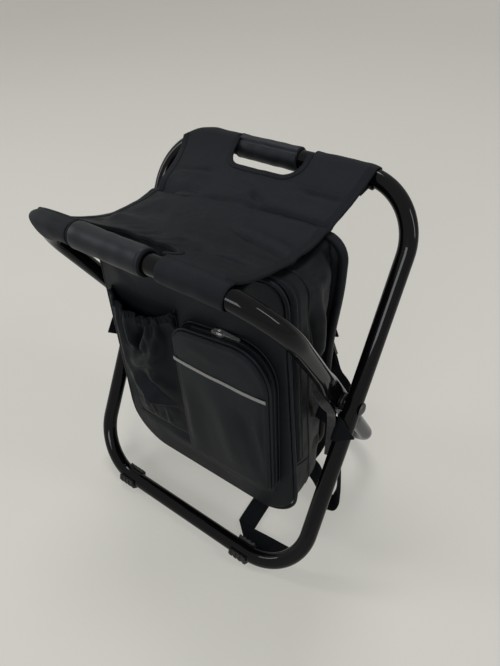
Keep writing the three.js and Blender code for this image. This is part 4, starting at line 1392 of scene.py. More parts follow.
@dataclass
class Seat:
    """The slung seat: one cloth with a hem round each bar, notches round the grips and bound edges."""

    front_x: tuple[float, float] = (-125.0, 105.0)
    rear_x: tuple[float, float] = (-137.0, 110.0)
    front_notch: tuple[float, float] = (-70.5, 38.0)
    rear_notch: tuple[float, float] = (-61.5, 38.5)
    notch_y: tuple[float, float] = (80.0, 79.0)  # feet of the front and rear notch, from the middle
    notch_r: tuple[float, float, float] = (36.0, 24.0, 24.0)  # corners: front left, rear left, right
    tip: float = 12.0  # the front left hem reaches out by this beside the bar
    waist: float = 7.0
    hem_r: float = 10.9
    hem_depth: float = 25.0  # the hems are stitched this far in from the bars
    leave: float = math.radians(31.9)  # how steeply the cloth leaves the bars
    thickness: float = 1.7
    flat_w: float = 262.0  # width of the cloth laid flat
    columns: tuple[int, int, int] = (40, 56, 44)
    tape_w: float = 9.5
    notch_tape_w: float = 6.5
    tape_t: float = 3.4
    facing_drop: float = 17.0
    facing_t: float = 0.8
    pull_room: float = 388.4  # the cloth stays above this over the main zip's pulls
    pulls_x: tuple[float, ...] = (-112.0, -90.0, 92.0, 112.0)  # where the pulls start and end
    pulls_half: float = 13.0  # depth to which that room fades
    bend: tuple[float, float] = (104.0, 400.0)  # y and z where the cloth starts to bend between the loops
    follow: dict = field(default_factory=lambda: {-1: (0.32, 0.8), 1: (0.85, 0.9)})
    mouth: dict = field(default_factory=lambda: {-1: (40.0, 5.0), 1: (16.0, 3.0)})
    folds: tuple[Fold, ...] = fold_rows(
        (-146, 43, -52, 37, 7, -6.5),
        (-118, 31, 10, 38, 2.6, -2.2),
        (-10, 38, 118, 40.5, 2.6, -3.6),
        (-60, 47, 112, 50, 8, 2.2),
        (30, 30, 112, 30, 7, 1.6),
        (2, 52, 20, 46, 5, -3.4),
        (-20, 62, 4, 55, 6, 2.0),
        (10, -3, 112, -27, 3, -2.4),
        (20, 6, 112, -16, 8, 1.8),
        (20, -61, 92, -59, 2.8, -2.4),
        (40, -50, 104, -48, 8, 1.6),
        (-124, 70, -56, 73, 2.4, -2.4),
        (-126, 62, -54, 65, 5, 1.4),
        (42, 74, 104, 73.5, 2.4, -2.6),
        (44, 66, 104, 65, 5, 1.4),
        (-100, -4, -30, 6, 12, -1.6),
        (-70, -30, 10, -24, 14, 1.4),
        (-60, -72, -46, -58, 5, 2.4),
        (-34, -74, -24, -56, 5, -2.6),
        (-10, -74, 2, -54, 5.5, 2.4),
        (20, -76, 40, -40, 8, -2.2),
        (-112, -76, -76, -40, 8, -1.8),
        (-120, -30, -84, 20, 14, 1.2),
    )

    def _sunk(self, x: Array, end: int) -> Array:
        """How far the cloth has sunk with the bar's bend where it lands on it, slack at the left.

        Args:
            x: Across.
            end: -1 for the front bar and 1 for the rear one.

        Returns:
            Distances along the leg.
        """
        half = LAYOUT.inner_half if end < 0 else LAYOUT.outer_half
        left, right = self.follow[end]
        return LAYOUT.bend_drop(x, half) * np.where(x < 0, left, right)

    def surface(self, x: Array, y: Array) -> Array:
        """Middle of the cloth: the hanging seat with its folds and pleats, sunk where the bars bend.

        Args:
            x: Across.
            y: From front to back.

        Returns:
            Points on the cloth.
        """
        hang = np.clip(1 - (y / LAYOUT.seat_end[0]) ** 2, 0.0, 1.0)
        near = ramp(np.abs(y), 66.0, LAYOUT.seat_end[0])
        sunk = np.where(y < 0, self._sunk(x, -1), self._sunk(x, 1)) * near
        gathered = bell(y, -self.notch_y[0], 9.0) * bell(x, -24.0, 46.0)
        pleat = 1.7 * np.sin(x / 4.6 + 1.4 * np.sin(x / 17.0)) * gathered
        detail = 1.35 * folds_height(self.folds, x, y) + 0.8 * rumple(x, y, 21.0) + 0.35 * rumple(x, y, 7.5)
        z = LAYOUT.seat_hang(x, y) + 0.6 + (detail + pleat) * np.sqrt(hang) - math.cos(LAYOUT.tilt) * sunk
        over_pulls = bell(y, LAYOUT.zip_y, self.pulls_half) * band(x, *self.pulls_x)
        z = z + np.maximum(self.pull_room - z, 0.0) * over_pulls
        return np.stack(np.broadcast_arrays(x, y - np.sign(y) * math.sin(LAYOUT.tilt) * sunk, z), axis=-1)

    def _edges(self, y: Array) -> tuple[Array, Array, Array, Array]:
        """Left edge, the notches' two sides and the right edge at depth y.

        Within reach of a bar the inner two are the notch's sides, which flare by a quarter circle at
        its foot. Between the notches they run straight from one notch to the other.

        Args:
            y: Depths.

        Returns:
            Four arrays of x.
        """
        end_y = LAYOUT.seat_end[0]
        front, rear = self.notch_y
        share = np.clip((y + end_y) / (2 * end_y), 0.0, 1.0)
        hang = np.clip(1 - (y / end_y) ** 2, 0.0, 1.0)
        left = blend(self.front_x[0], self.rear_x[0], share) + self.waist * hang
        left = left - self.tip * ramp(-y, 92.0, end_y)
        right = blend(self.front_x[1], self.rear_x[1], share) - self.waist * hang
        past = np.maximum(np.abs(y) - np.where(y < 0, front, rear), 0.0)
        middle = np.clip((y + front) / (front + rear), 0.0, 1.0)
        corner = np.stack([blend(self.notch_r[0], self.notch_r[1], middle), np.full(len(y), self.notch_r[2])])
        flare = corner - np.sqrt(corner**2 - np.maximum(corner - past, 0.0) ** 2)
        a = blend(self.front_notch[0], self.rear_notch[0], middle) + flare[0]
        b = blend(self.front_notch[1], self.rear_notch[1], middle) - flare[1]
        return left, a, b, right

    def _across(self, edges: Sequence[Array]) -> Array:
        """x of every column, the three column groups laid between the four edge lines.

        Args:
            edges: x of the four edge lines by row.

        Returns:
            x by row and column.
        """
        groups = []
        for k, count in enumerate(self.columns):
            t = np.linspace(0.0, 1.0, count + 1)[None, min(k, 1) :]
            groups.append(blend(edges[k][:, None], edges[k + 1][:, None], t))
        return np.concatenate(groups, axis=1)

    def _wrap(self, end: int) -> Array:
        """The hem's rows round one bar.

        The cloth follows a circle round the bar from where it lands on it, over the top and down the
        outside to below, then runs in to the seat's underside. Its lower half hangs down along the leg
        as the tube bends away, and its open outer ends are cut back below.

        Args:
            end: -1 for the front bar and 1 for the rear one.

        Returns:
            Points by row and column, from the landing line on.
        """
        (left, right), notch = (self.front_x, self.front_notch) if end < 0 else (self.rear_x, self.rear_notch)
        half = LAYOUT.inner_half if end < 0 else LAYOUT.outer_half
        cut, sag = self.mouth[end]
        left = left - self.tip * float(end < 0)
        a = np.linspace(-self.leave, math.radians(250.0), 40)[1:]
        under = ramp(a, math.radians(40.0), math.radians(165.0))
        low = ramp(a, math.radians(0.0), math.radians(190.0))
        sides = (np.full(len(a), edge) for edge in notch)
        x = self._across((left + cut * low, *sides, right - 2.0 * under))
        flare = ramp(-x, -notch[0] + 6.0, -left)
        hung = LAYOUT.bend_drop(x, half) * 1.05 + 0.6 + sag * flare
        drop = blend(self._sunk(x, end), hung, under[:, None])
        a = a[:, None]
        radius = self.hem_r + 1.6 * flare * ramp(a, 0.6, 2.2) + 0.35 * rumple(x, 12.0 * a, 11.0)
        y = radius * np.sin(a) - math.sin(LAYOUT.tilt) * drop
        z = radius * np.cos(a) - math.cos(LAYOUT.tilt) * drop
        hem = np.stack([x, end * (LAYOUT.bar_y + y), LAYOUT.bar_z + z], axis=-1)
        seam_y = end * (LAYOUT.seat_end[0] - self.hem_depth)
        seam = self.surface(x[-1], np.full(x.shape[1], seam_y)) - np.array([0.0, 0.0, 2.2])
        t = np.linspace(0.0, 1.0, 9)[1:, None, None]
        return np.concatenate([hem, blend(hem[-1][None], seam[None], t)], axis=0)

    def _grid(self) -> tuple[Array, Array]:
        """The whole cloth's points, and which rows have their middle columns.

        Returns:
            Points by row and column, and a mark for each row.
        """
        end_y = LAYOUT.seat_end[0]
        front_y, rear_y = self.notch_y
        spans = ((-end_y, -front_y, 22), (-front_y, rear_y, 150), (rear_y, end_y, 18))
        y = np.concatenate([np.linspace(a, b, n)[min(k, 1) :] for k, (a, b, n) in enumerate(spans)])
        x = self._across(self._edges(y))
        flat = self.surface(x, np.broadcast_to(y[:, None], x.shape))
        front, rear = self._wrap(-1), self._wrap(1)
        points = np.concatenate([front[::-1], flat, rear], axis=0)
        between = (y >= -front_y - 1e-6) & (y <= rear_y + 1e-6)
        inside = np.concatenate([np.zeros(len(front), bool), between, np.zeros(len(rear), bool)])
        return points, inside

    def _bound_edge(self, name: str, x: Array, y: Array, width: float) -> Piece:
        """A binding tape folded over an edge of the cloth.

        The edge is walked with the cloth on its left. The tape's middle line is set in square to the
        edge, so that the tape laps just past it, and a flat profile is carried along that line.

        Args:
            name: The tape's name.
            x: The edge's x.
            y: The edge's y.
            width: The tape's width.

        Returns:
            The tape.
        """
        line = spaced(np.stack([x, y], axis=1), 170)
        along = unit(np.gradient(line, axis=0))
        inward = np.stack([-along[:, 1], along[:, 0]], axis=1)
        outer, inner = (line + inward * reach for reach in (-1.0, width - 1.0))
        low, high = self.surface(*outer.T), self.surface(*inner.T)
        middle, edge = (low + high) / 2, unit(high - low)
        travel = unit(np.gradient(middle, axis=0))
        rings = swept(middle, edge, unit(np.cross(travel, edge)), strap_outline(width, self.tape_t))
        return loft(name, rings, FINISH.seat_tape)

    def _notch_path(self, end: int) -> Array:
        """The x and y of a notch's edge, down its left side, along its foot and up its right side.

        Args:
            end: -1 for the front notch and 1 for the rear one.

        Returns:
            Points along the edge.
        """
        tab = np.linspace(LAYOUT.seat_end[0], self.notch_y[end > 0], 60) * end
        _, a, b, _ = self._edges(tab)
        foot = np.linspace(a[-1], b[-1], 60)[1:-1]
        x = np.concatenate([a, foot, b[::-1]])
        return np.stack([x, np.concatenate([tab, np.full(len(foot), tab[-1]), tab[::-1]])], axis=1)

    def _facing(self) -> Piece:
        """The bunched facing that hangs behind the front grip from the front notch's edge.

        Returns:
            The facing.
        """
        x, y = (column[None] for column in spaced(self._notch_path(-1)[16:-30], 220).T)
        v = np.linspace(0.0, 1.0, 16)[:, None]
        wave = np.sin(x / 3.1 + 1.6 * np.sin(x / 13.0)) * v
        drop = -1.0 - self.facing_drop * v
        hang = np.stack(np.broadcast_arrays(0.8 * wave, 2.2 * wave - 5.0 * v, drop), axis=-1)
        piece = Surface(self.surface(x, y) + hang, facing=(0, -1, 0)).build("seat_front_facing")
        thicken(piece, self.facing_t)
        return dress(piece, FINISH.seat_tape)

    def build(self) -> None:
        """Makes the cloth and its binding tapes."""
        points, inside = self._grid()
        keep = np.ones((points.shape[0] - 1, points.shape[1] - 1), bool)
        low, high = self.columns[0], self.columns[0] + self.columns[1]
        keep[:, low:high] = (inside[:-1] & inside[1:])[:, None]
        along = running(np.linalg.norm(np.diff(points, axis=0), axis=2).mean(axis=1))
        cloth = np.stack(np.broadcast_arrays(points[..., 0], along[:, None]), axis=-1)
        piece = Surface(points, keep=keep, cloth=cloth, facing=(0, 0, 1)).build("seat_cloth")
        nodes = ["seat_panel", *(f"seat_hem_{a}_{b}" for a in ("front", "rear") for b in ("left", "right"))]
        dress(piece, FINISH.seat, nodes)
        y = np.linspace(-LAYOUT.seat_end[0], LAYOUT.seat_end[0], 240)
        left, _, _, right = self._edges(y)
        tapes = [
            self._bound_edge("seat_binding_left", left[::-1], y[::-1], self.tape_w),
            self._bound_edge("seat_binding_right", right, y, self.tape_w),
        ]
        for end, label in ((-1, "front"), (1, "rear")):
            x, y = self._notch_path(end)[::end].T
            tapes.append(self._bound_edge(f"seat_binding_{label}_notch", x, y, self.notch_tape_w))
        tapes.append(self._facing())
        for part in (piece, *tapes):
            cross_joint(part)
        thicken(piece, self.thickness)
        flat = (self.flat_w * MM, float(along[-1]) * MM)
        cloth_area(piece, flat)


@dataclass
class BagBody:
    """The cooler bag's gusset, back and lining."""

    count: int = 260
    shell: float = 1.6
    foam_in: float = 1.9
    lining_in: float = 7.9
    lining_follow: float = 0.8  # share of the cloth's folds that the lining follows
    lining_roll: float = 2.2
    seam_dip: float = 1.1
    hollow: float = 9.0  # depth of the groove beside the back's binding
    hollow_y: tuple[float, ...] = (16.0, 30.0, 36.5, 40.0)  # where it starts, is full, ends and is gone
    hollow_z: tuple[float, float] = (120.0, 300.0)  # it deepens between these heights
    loose_y: tuple[float, ...] = (-46.0, -16.0, 10.0, 26.0)  # depths where the cloth is loose
    stiff_y: tuple[float, ...] = (-60.0, -50.0, 34.0, 40.0)  # depths where it is only uneven
    seam_slope: float = 0.6  # the cross seams fall this much per millimetre of depth
    welt_r: float = 1.3
    cross_r: float = 0.8
    binding_r: float = 5.0
    back_fill: float = 0.6
    back_puff: float = 6.0
    back_crown: float = 2.2
    channel_x: float = 42.0  # the back is quilted along a line this far from its middle
    channel_z: tuple[float, ...] = (60.0, 90.0, 300.0, 335.0)
    channel_half: float = 3.5
    channel_depth: float = 2.0
    folds_right: tuple[Fold, ...] = fold_rows(
        (-30, 352, -2, 236, 5, -7.5),
        (-14, 356, 12, 236, 7, 7.0),
        (-38, 340, -18, 250, 5, 4.0),
        (-26, 362, 6, 350, 5, -4.0),
        (-14, 240, 10, 160, 8, -5.0),
        (-2, 190, 16, 90, 8, 4.0),
        (-20, 130, 20, 120, 7, -2.6),
    )
    folds_left: tuple[Fold, ...] = fold_rows(
        (-22, 350, 24, 250, 7, 3.6),
        (-4, 352, 36, 280, 6, -3.4),
        (-18, 250, 20, 150, 10, -2.6),
        (0, 140, 34, 90, 8, 2.2),
    )
    folds_top: tuple[Fold, ...] = fold_rows(
        (-80, -10, -30, 22, 8, -2.6),
        (-20, -18, 40, 26, 10, 2.2),
        (40, -6, 92, 20, 7, -2.4),
    )

    def ring(self, y: float, inset: float, folded: float = 1.0) -> Array:
        """The bag's ring at one depth.

        The plain outline is pushed along its outward normal by the folds of its right, left and top
        sides and by slow unevenness, then takes the bag's soft shape.

        Args:
            y: Depth.
            inset: Margin inside the cloth's outside.
            folded: Share of the folds that this layer follows.

        Returns:
            Points round the ring.
        """
        outline = LAYOUT.bag_outline(y, inset, self.count)
        normal = outward(outline)
        x, z = outline.T
        right, up = normal.T
        depth = np.full(len(x), y)
        loose = band(y, *self.loose_y) * folded
        stiff = 0.5 * band(y, *self.stiff_y)
        lift = folds_height(self.folds_right, depth, z) * ramp(right, 0.25, 0.9)
        lift = lift + folds_height(self.folds_left, depth, z) * ramp(-right, 0.25, 0.9)
        lift = lift + folds_height(self.folds_top, x, depth) * ramp(up, 0.3, 0.9)
        lift = loose * (lift + 1.2 * rumple(x + depth, z, 19.0)) + stiff * rumple(z + x, depth, 13.0)
        groove = band(y, *self.hollow_y) * ramp(z, *self.hollow_z) * ramp(np.abs(right), 0.3, 0.9)
        lift = lift - self.seam_dip * bell(y, LAYOUT.seam_y, 1.6) * folded - self.hollow * groove
        return LAYOUT.bag_shape(at_depth(outline + normal * lift[:, None], depth))

    def _gusset(self) -> None:
        """The cloth tunnel, its outside and inside lofted into one closed wall."""
        front = np.linspace(LAYOUT.gusset_front, LAYOUT.seam_y, 26)
        y = np.concatenate([front, np.linspace(LAYOUT.seam_y, LAYOUT.gusset_back, 50)[1:]])
        rings = [self.ring(v, 0.0) for v in y] + [self.ring(v, self.shell) for v in y[::-1]]
        piece = Surface(np.stack(rings), ring=True, loop=True).build("bag_gusset")
        nodes = ["bag_zip_gusset", "bag_lower_gusset", "bag_rear_gusset"]
        dress(piece, FINISH.bag, nodes, Body.BAG)

    def _seams(self) -> None:
        """Turned seams: a welt round the gusset, a cross seam below the zip and the back's binding."""
        welt = np.roll(self.ring(LAYOUT.seam_y, -0.5), 3, axis=0)
        piping("gusset_welt", welt, self.welt_r, Body.BAG)
        y = np.linspace(LAYOUT.gusset_front + 1.0, LAYOUT.seam_y - 1.0, 24)
        rows = np.stack([self.ring(v, -0.2) for v in y])
        seam = LAYOUT.zip_seam - self.seam_slope * (y - y[0])
        for side, label in SIDES:
            near = np.abs(rows[..., 2] - seam[:, None]) + 500.0 * (rows[..., 0] * side < 0)
            path = rows[np.arange(len(y)), near.argmin(axis=1)]
            path[:, 2] = seam
            piping(f"gusset_cross_seam_{label}", path, self.cross_r, Body.BAG, closed=False)
        binding = self.ring(LAYOUT.gusset_back + 0.6, -0.6)
        piping("back_binding", binding, self.binding_r, Body.BAG, sides=16)

    def _back(self) -> None:
        """The padded back: shrinking rings, crowned at the middle and quilted along two upright lines."""
        share = np.concatenate([[1.0, 1.0, 0.985, 0.965], np.linspace(0.93, 0.02, 34)])
        xz = shrunk(LAYOUT.bag_outline(LAYOUT.gusset_back, 0.0, self.count), share)
        x, z = np.moveaxis(xz, -1, 0)
        share = share[:, None]
        channel = bell(np.abs(x), self.channel_x, self.channel_half) * band(z, *self.channel_z)
        puff = self.back_puff - self.channel_depth * channel + 0.5 * rumple(x, z, 26.0)
        puff = puff * (1 - ramp(share, 0.9, 1.0))
        y = LAYOUT.gusset_back + 0.3 + puff + self.back_crown * (1 - share**2)
        points = LAYOUT.bag_shape(at_depth(xz, y))
        piece = loft("bag_back_pad", points, FINISH.bag, ["bag_back_panel"], Body.BAG, xz)

    def _lining(self) -> None:
        """Foil over foam inside the bag: a pan whose outside, rim, walls and floor are one surface."""
        front, back = LAYOUT.gusset_front + 2.0, LAYOUT.gusset_back - 1.0
        floor = back - (self.lining_in - self.foam_in)
        forward, inward = np.linspace(back, front, 44), np.linspace(front, floor, 40)
        layers = ((self.foam_in, forward), (self.lining_in, inward))
        outer, inner = (np.stack([self.ring(v, inset, self.lining_follow) for v in y]) for inset, y in layers)
        t = np.array([0.25, 0.5, 0.75])[:, None]
        rim = blend(outer[-1], inner[0], t[..., None])
        rim[..., 1] -= self.lining_roll * np.sin(math.pi * t)
        share = np.linspace(1.0, 0.02, 22)
        rows = [shrunk(outer[0], share)[::-1], outer[1:], rim, inner, shrunk(inner[-1], share)[1:]]
        nodes = ["bag_liner", "bag_insulation"]
        loft("bag_foil_lining", np.concatenate(rows), FINISH.foil, nodes, Body.BAG)

    def build(self) -> None:
        """Makes the bag's body."""
        self._gusset()
        self._seams()
        self._back()
        self._lining()


@dataclass
class FrontPanel:
    """The bag's padded front, which folds down along its crease, with its piping and lining."""

    count: int = 260
    roll: float = 2.2
    puff: float = 1.6
    piping_r: float = 2.0
    piping_y: float = -63.2
    bend_half: float = 10.0  # the cloth bends this far below and above the crease
    quilt: float = 38.0
    pockets_z: tuple[float, ...] = (86.0, 98.0, 300.0, 316.0)  # the pockets hold the cloth flat here
    pockets_x: tuple[float, float] = (108.0, 122.0)
    fill: float = 0.5
    lining_fill: float = 0.4
    folds: tuple[Fold, ...] = fold_rows(
        (-60, 335, 70, 326, 9, 1.6),
        (40, 352, 104, 318, 8, -2.0),
        (-100, 345, -60, 310, 7, -1.6),
        (-95, 82, 95, 80, 9, 1.6),
        (-60, 64, 60, 62, 7, -1.2),
    )

    def _disc(self, inset: float, share: Array) -> Array:
        """Outline set in by a margin and shrunk towards its middle by each share, as x and z."""
        return shrunk(LAYOUT.bag_outline(LAYOUT.gusset_front, inset, self.count), share)

    def _panel(self) -> None:
        """The panel: back disc, rounded edge and crowned front disc in one closed surface."""
        share = np.linspace(0.02, 1.0, 34)
        turn = np.linspace(0.0, QUARTER, 6)[1:]
        back, face = self._disc(0.0, share), self._disc(self.roll, share[::-1])[1:]
        edge = np.concatenate([self._disc(self.roll * (1 - math.cos(a)), 1.0) for a in turn])
        xz = np.concatenate([back, edge, face])
        x, z = np.moveaxis(xz, -1, 0)
        inner = np.concatenate([np.zeros(len(back) + len(edge)), 1 - share[::-1][1:]])[:, None]
        soft = self.puff + folds_height(self.folds, x, z) + 0.7 * rumple(x, z, 24.0)
        covered = band(z, *self.pockets_z) * (1 - ramp(np.abs(x), *self.pockets_x))
        rounded = LAYOUT.bag_front + self.roll * (1 - np.sin(turn))
        front = np.full(len(face), LAYOUT.bag_front)
        flat = np.concatenate([np.full(len(back), LAYOUT.panel_back), rounded, front])
        y = flat[:, None] - ramp(inner, 0.0, 0.25) * soft * (1 - 0.9 * covered)
        points = LAYOUT.bag_shape(at_depth(xz, y))
        nodes = ["front_flap", "front_lower_panel"]
        piece = loft("bag_front_panel", points, FINISH.bag, nodes, cloth=xz)
        self._fold_down(piece)

    def _fold_down(self, piece: Piece) -> None:
        """Bakes a piece's placement into its mesh."""
        cross_joint(piece)

    def _lining(self) -> None:
        """Foil pad on the flap's inside: a shallow pillow, quilted in squares, above the crease."""
        low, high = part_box("front_lining")
        foot, back = low.z / MM, low.y / MM
        inset = LAYOUT.bag_top(LAYOUT.gusset_front) - high.z / MM
        outline = LAYOUT.bag_outline(LAYOUT.gusset_front, inset, 400)
        outline = spaced(np.column_stack([outline[:, 0], np.maximum(outline[:, 1], foot)]), 220, closed=True)
        share = np.concatenate([[1.0, 1.0], np.linspace(0.985, 0.02, 44)])
        xz = shrunk(outline, share)
        x, z = np.moveaxis(xz, -1, 0)
        waves = np.sin(x / self.quilt * math.pi) * np.sin((z - foot) / self.quilt * math.pi)
        y = back + 0.1 + (0.6 + 2.0 * np.sqrt(np.abs(waves))) * (1 - ramp(share, 0.94, 1.0))[:, None]
        y[0] = back
        nodes = ["front_lining"]
        piece = loft("flap_foil_pad", at_depth(xz, y), FINISH.foil, nodes, Body.FLAP, xz)

    def build(self) -> None:
        """Makes the panel, its piping and its lining."""
        self._panel()
        xz = LAYOUT.bag_outline(LAYOUT.gusset_front, -self.piping_r - 0.2, 320)
        path = LAYOUT.bag_shape(at_depth(xz, self.piping_y))
        nodes = ["flap_piping", "lower_piping"]
        self._fold_down(piping("front_piping", path, self.piping_r, nodes=nodes, sides=12))
        self._lining()


@dataclass(frozen=True)
class ZipProfile:
    """Cross-sections of a zip as depth and lift: a flat tape and the coil on it."""

    half: float  # half the tape's width
    low: float  # lift of the tape's underside
    edge: float  # lift of the tape's edges and the coil's foot
    crest: tuple[float, float]  # half width and lift of the tape's middle
    coil: tuple[float, float]  # half width and rise of the coil
    sunk: float = 0.6  # lift of the coil's underside

    def runs(self, label: str) -> tuple[tuple[str, Array, Finish, list[str]], ...]:
        """Name, profile, finish and replaced nodes of the tape and of the coil.

        Args:
            label: The zip's name, without its ending.

        Returns:
            A row for each of the two.
        """
        right = np.array([self.crest, (self.half, self.edge), (self.half, self.low)])
        tape = np.vstack([right[::-1] * [-1, 1], right])
        wide, rise = self.coil
        a = np.linspace(0.0, math.pi, 9)
        arch = np.stack([-wide * np.cos(a), self.edge + rise * np.sin(a)], axis=1)
        coil = np.vstack([arch, [[wide, self.sunk], [-wide, self.sunk]]])
        return (
            (f"{label}_zip_tape", tape, FINISH.elastic, [f"{label}_zip"]),
            (f"{label}_zip_coil", coil, FINISH.coil, []),
        )


@dataclass
class ZipPocket:
    """The zipped pocket on the right of the front, with its welts, stripe and zip."""

    left: float = -9.0
    right: float = 110.5
    bottom: float = 96.0
    top: float = 299.0
    slant: float = 16.0  # the top edge rises this much to the right
    foot_slant: float = 7.0
    radii: tuple[float, float, float, float] = (44.0, 20.0, 14.0, 14.0)
    back: float = -66.3
    front: float = -85.0
    roll: float = 4.0
    crown: float = 3.2
    bow: float = 0.8
    count: int = 320
    welt_r: float = 1.6
    seam_r: float = 1.3
    stripe_z: tuple[float, float] = (257.5, 262.0)
    stripe_t: float = 0.7
    zip_y: float = -72.0
    zip: ZipProfile = ZipProfile(5.2, 0.2, 0.9, (2.0, 1.0), (2.1, 1.1))
    folds: tuple[Fold, ...] = fold_rows(
        (76, 240, 104, 124, 9, -5.5),
        (96, 236, 114, 140, 7, 3.6),
        (50, 236, 66, 124, 13, 3.6),
        (22, 236, 24, 126, 12, -2.2),
        (2, 236, 6, 116, 7, 2.4),
        (84, 304, 102, 276, 8, -2.0),
        (10, 288, 60, 282, 6, 1.6),
    )

    def outline(self, inset: float) -> Array:
        """The pocket's outline set in by a margin, as x and z, with a slanting top and foot.

        Args:
            inset: The margin.

        Returns:
            Points round the outline.
        """
        x, z = (self.left + inset, self.right - inset), (self.bottom + inset, self.top - inset)
        ring = rounded_outline(x, z, [r - inset for r in self.radii], self.count)
        share = (ring[:, 0] - self.left) / (self.right - self.left)
        ring[:, 1] += self.slant * share * ramp(ring[:, 1], self.top - 90.0, self.top)
        ring[:, 1] += self.foot_slant * share * (1 - ramp(ring[:, 1], self.bottom, self.bottom + 70.0))
        return ring

    def face(self, x: Array, z: Array) -> Array:
        """Depth of the pocket's front: a crown that falls off to the edges, with the cloth's folds.

        Args:
            x: Across.
            z: Up.

        Returns:
            Depths.
        """
        u = np.clip((x - self.left) / (self.right - self.left), 0, 1)
        v = np.clip((z - self.bottom) / (self.top - self.bottom), 0, 1)
        soft = (np.sin(math.pi * u) * np.sin(math.pi * v)) ** 0.5
        tuck = 1.3 * np.sin(x / 2.7 + 1.5 * np.sin(x / 11.0)) * bell(z, self.bottom + 9.0, 8.0)
        relief = folds_height(self.folds, x, z) + 0.5 * rumple(x, z, 20.0) + tuck
        return self.front - soft * (self.crown + relief)

    def _pan(self) -> None:
        """Sides, rounded edge and front in one surface, closed against the panel."""
        turn = np.linspace(0.0, QUARTER, 7)
        depth = np.linspace(self.back, self.front + self.roll, 9)[:-1]
        bow = self.bow * np.sin(np.linspace(0, math.pi, 9))[:-1]
        side = np.stack([self.outline(-b) for b in bow])
        roll = np.stack([self.outline(self.roll * (1 - math.cos(a))) for a in turn])
        share = np.linspace(1.0, 0.02, 40)[1:]
        xz = np.concatenate([side, roll, shrunk(self.outline(self.roll), share)])
        x, z = np.moveaxis(xz, -1, 0)
        rounded, front = self.front + self.roll * (1 - np.sin(turn)), np.full(len(share), self.front)
        drop = np.concatenate([np.zeros(len(side) + len(roll)), ramp(1 - share, 0.0, 0.12)])[:, None]
        y = np.concatenate([depth, rounded, front])[:, None] + (self.face(x, z) - self.front) * drop
        cloth = xz.copy()
        cloth[: len(side), :, 1] += (depth - depth[-1])[:, None]
        points = at_depth(xz, y)
        loft("zip_pocket_shell", points, FINISH.bag, ["zip_pocket"], Body.FLAP, cloth)

    def _welts(self) -> None:
        """A piping along the front edge and a flat seam against the panel."""
        welt = at_depth(self.outline(-1.2), self.front + self.roll + 1.2)
        piping("zip_pocket_welt", welt, self.welt_r, Body.FLAP, ["zip_pocket_piping"], 12)
        piping("zip_pocket_seam", at_depth(self.outline(-1.6), self.back - 0.9), self.seam_r, Body.FLAP)

    def _stripe(self) -> None:
        """The light tape across the front, laid on the crowned face."""
        low, high = self.stripe_z
        x = np.linspace(self.left + 0.6, self.right - 0.6, 90)
        z = np.full(len(x), (low + high) / 2)
        centre = np.stack([x, self.face(x, z) - self.stripe_t / 2, z], axis=1)
        along = unit(np.gradient(centre, axis=0))
        edge = np.broadcast_to(np.array([0.0, 0.0, 1.0]), centre.shape)
        rings = swept(centre, edge, unit(np.cross(edge, along)), strap_outline(high - low, self.stripe_t))
        loft("stripe_tape", rings, FINISH.stripe, ["reflective_stripe"], Body.FLAP)

    def _zip(self) -> None:
        """Tape and coil over the pocket's top and right side, between two stitched edges."""
        ring = self.outline(0.0)
        x, z = ring.T
        start = int(np.argmin(np.abs(z - (self.bottom + 15.0)) + 400.0 * (x < 60)))
        end = int(np.argmin(np.abs(x - (self.left + 20.0)) + 400.0 * (z < 250)))
        order = (start + np.arange((end - start) % self.count)) % self.count
        path, normal = ring[order][:, None, :], outward(ring)[order][:, None, :]
        for name, profile, finish, nodes in self.zip.runs("pocket"):
            rings = at_depth(path + profile[None, :, 1, None] * normal, self.zip_y + profile[None, :, 0])
            loft(name, rings, finish, nodes, Body.FLAP)

    def build(self) -> None:
        """Makes the pocket."""
        self._pan()
        self._welts()
        self._stripe()
        self._zip()


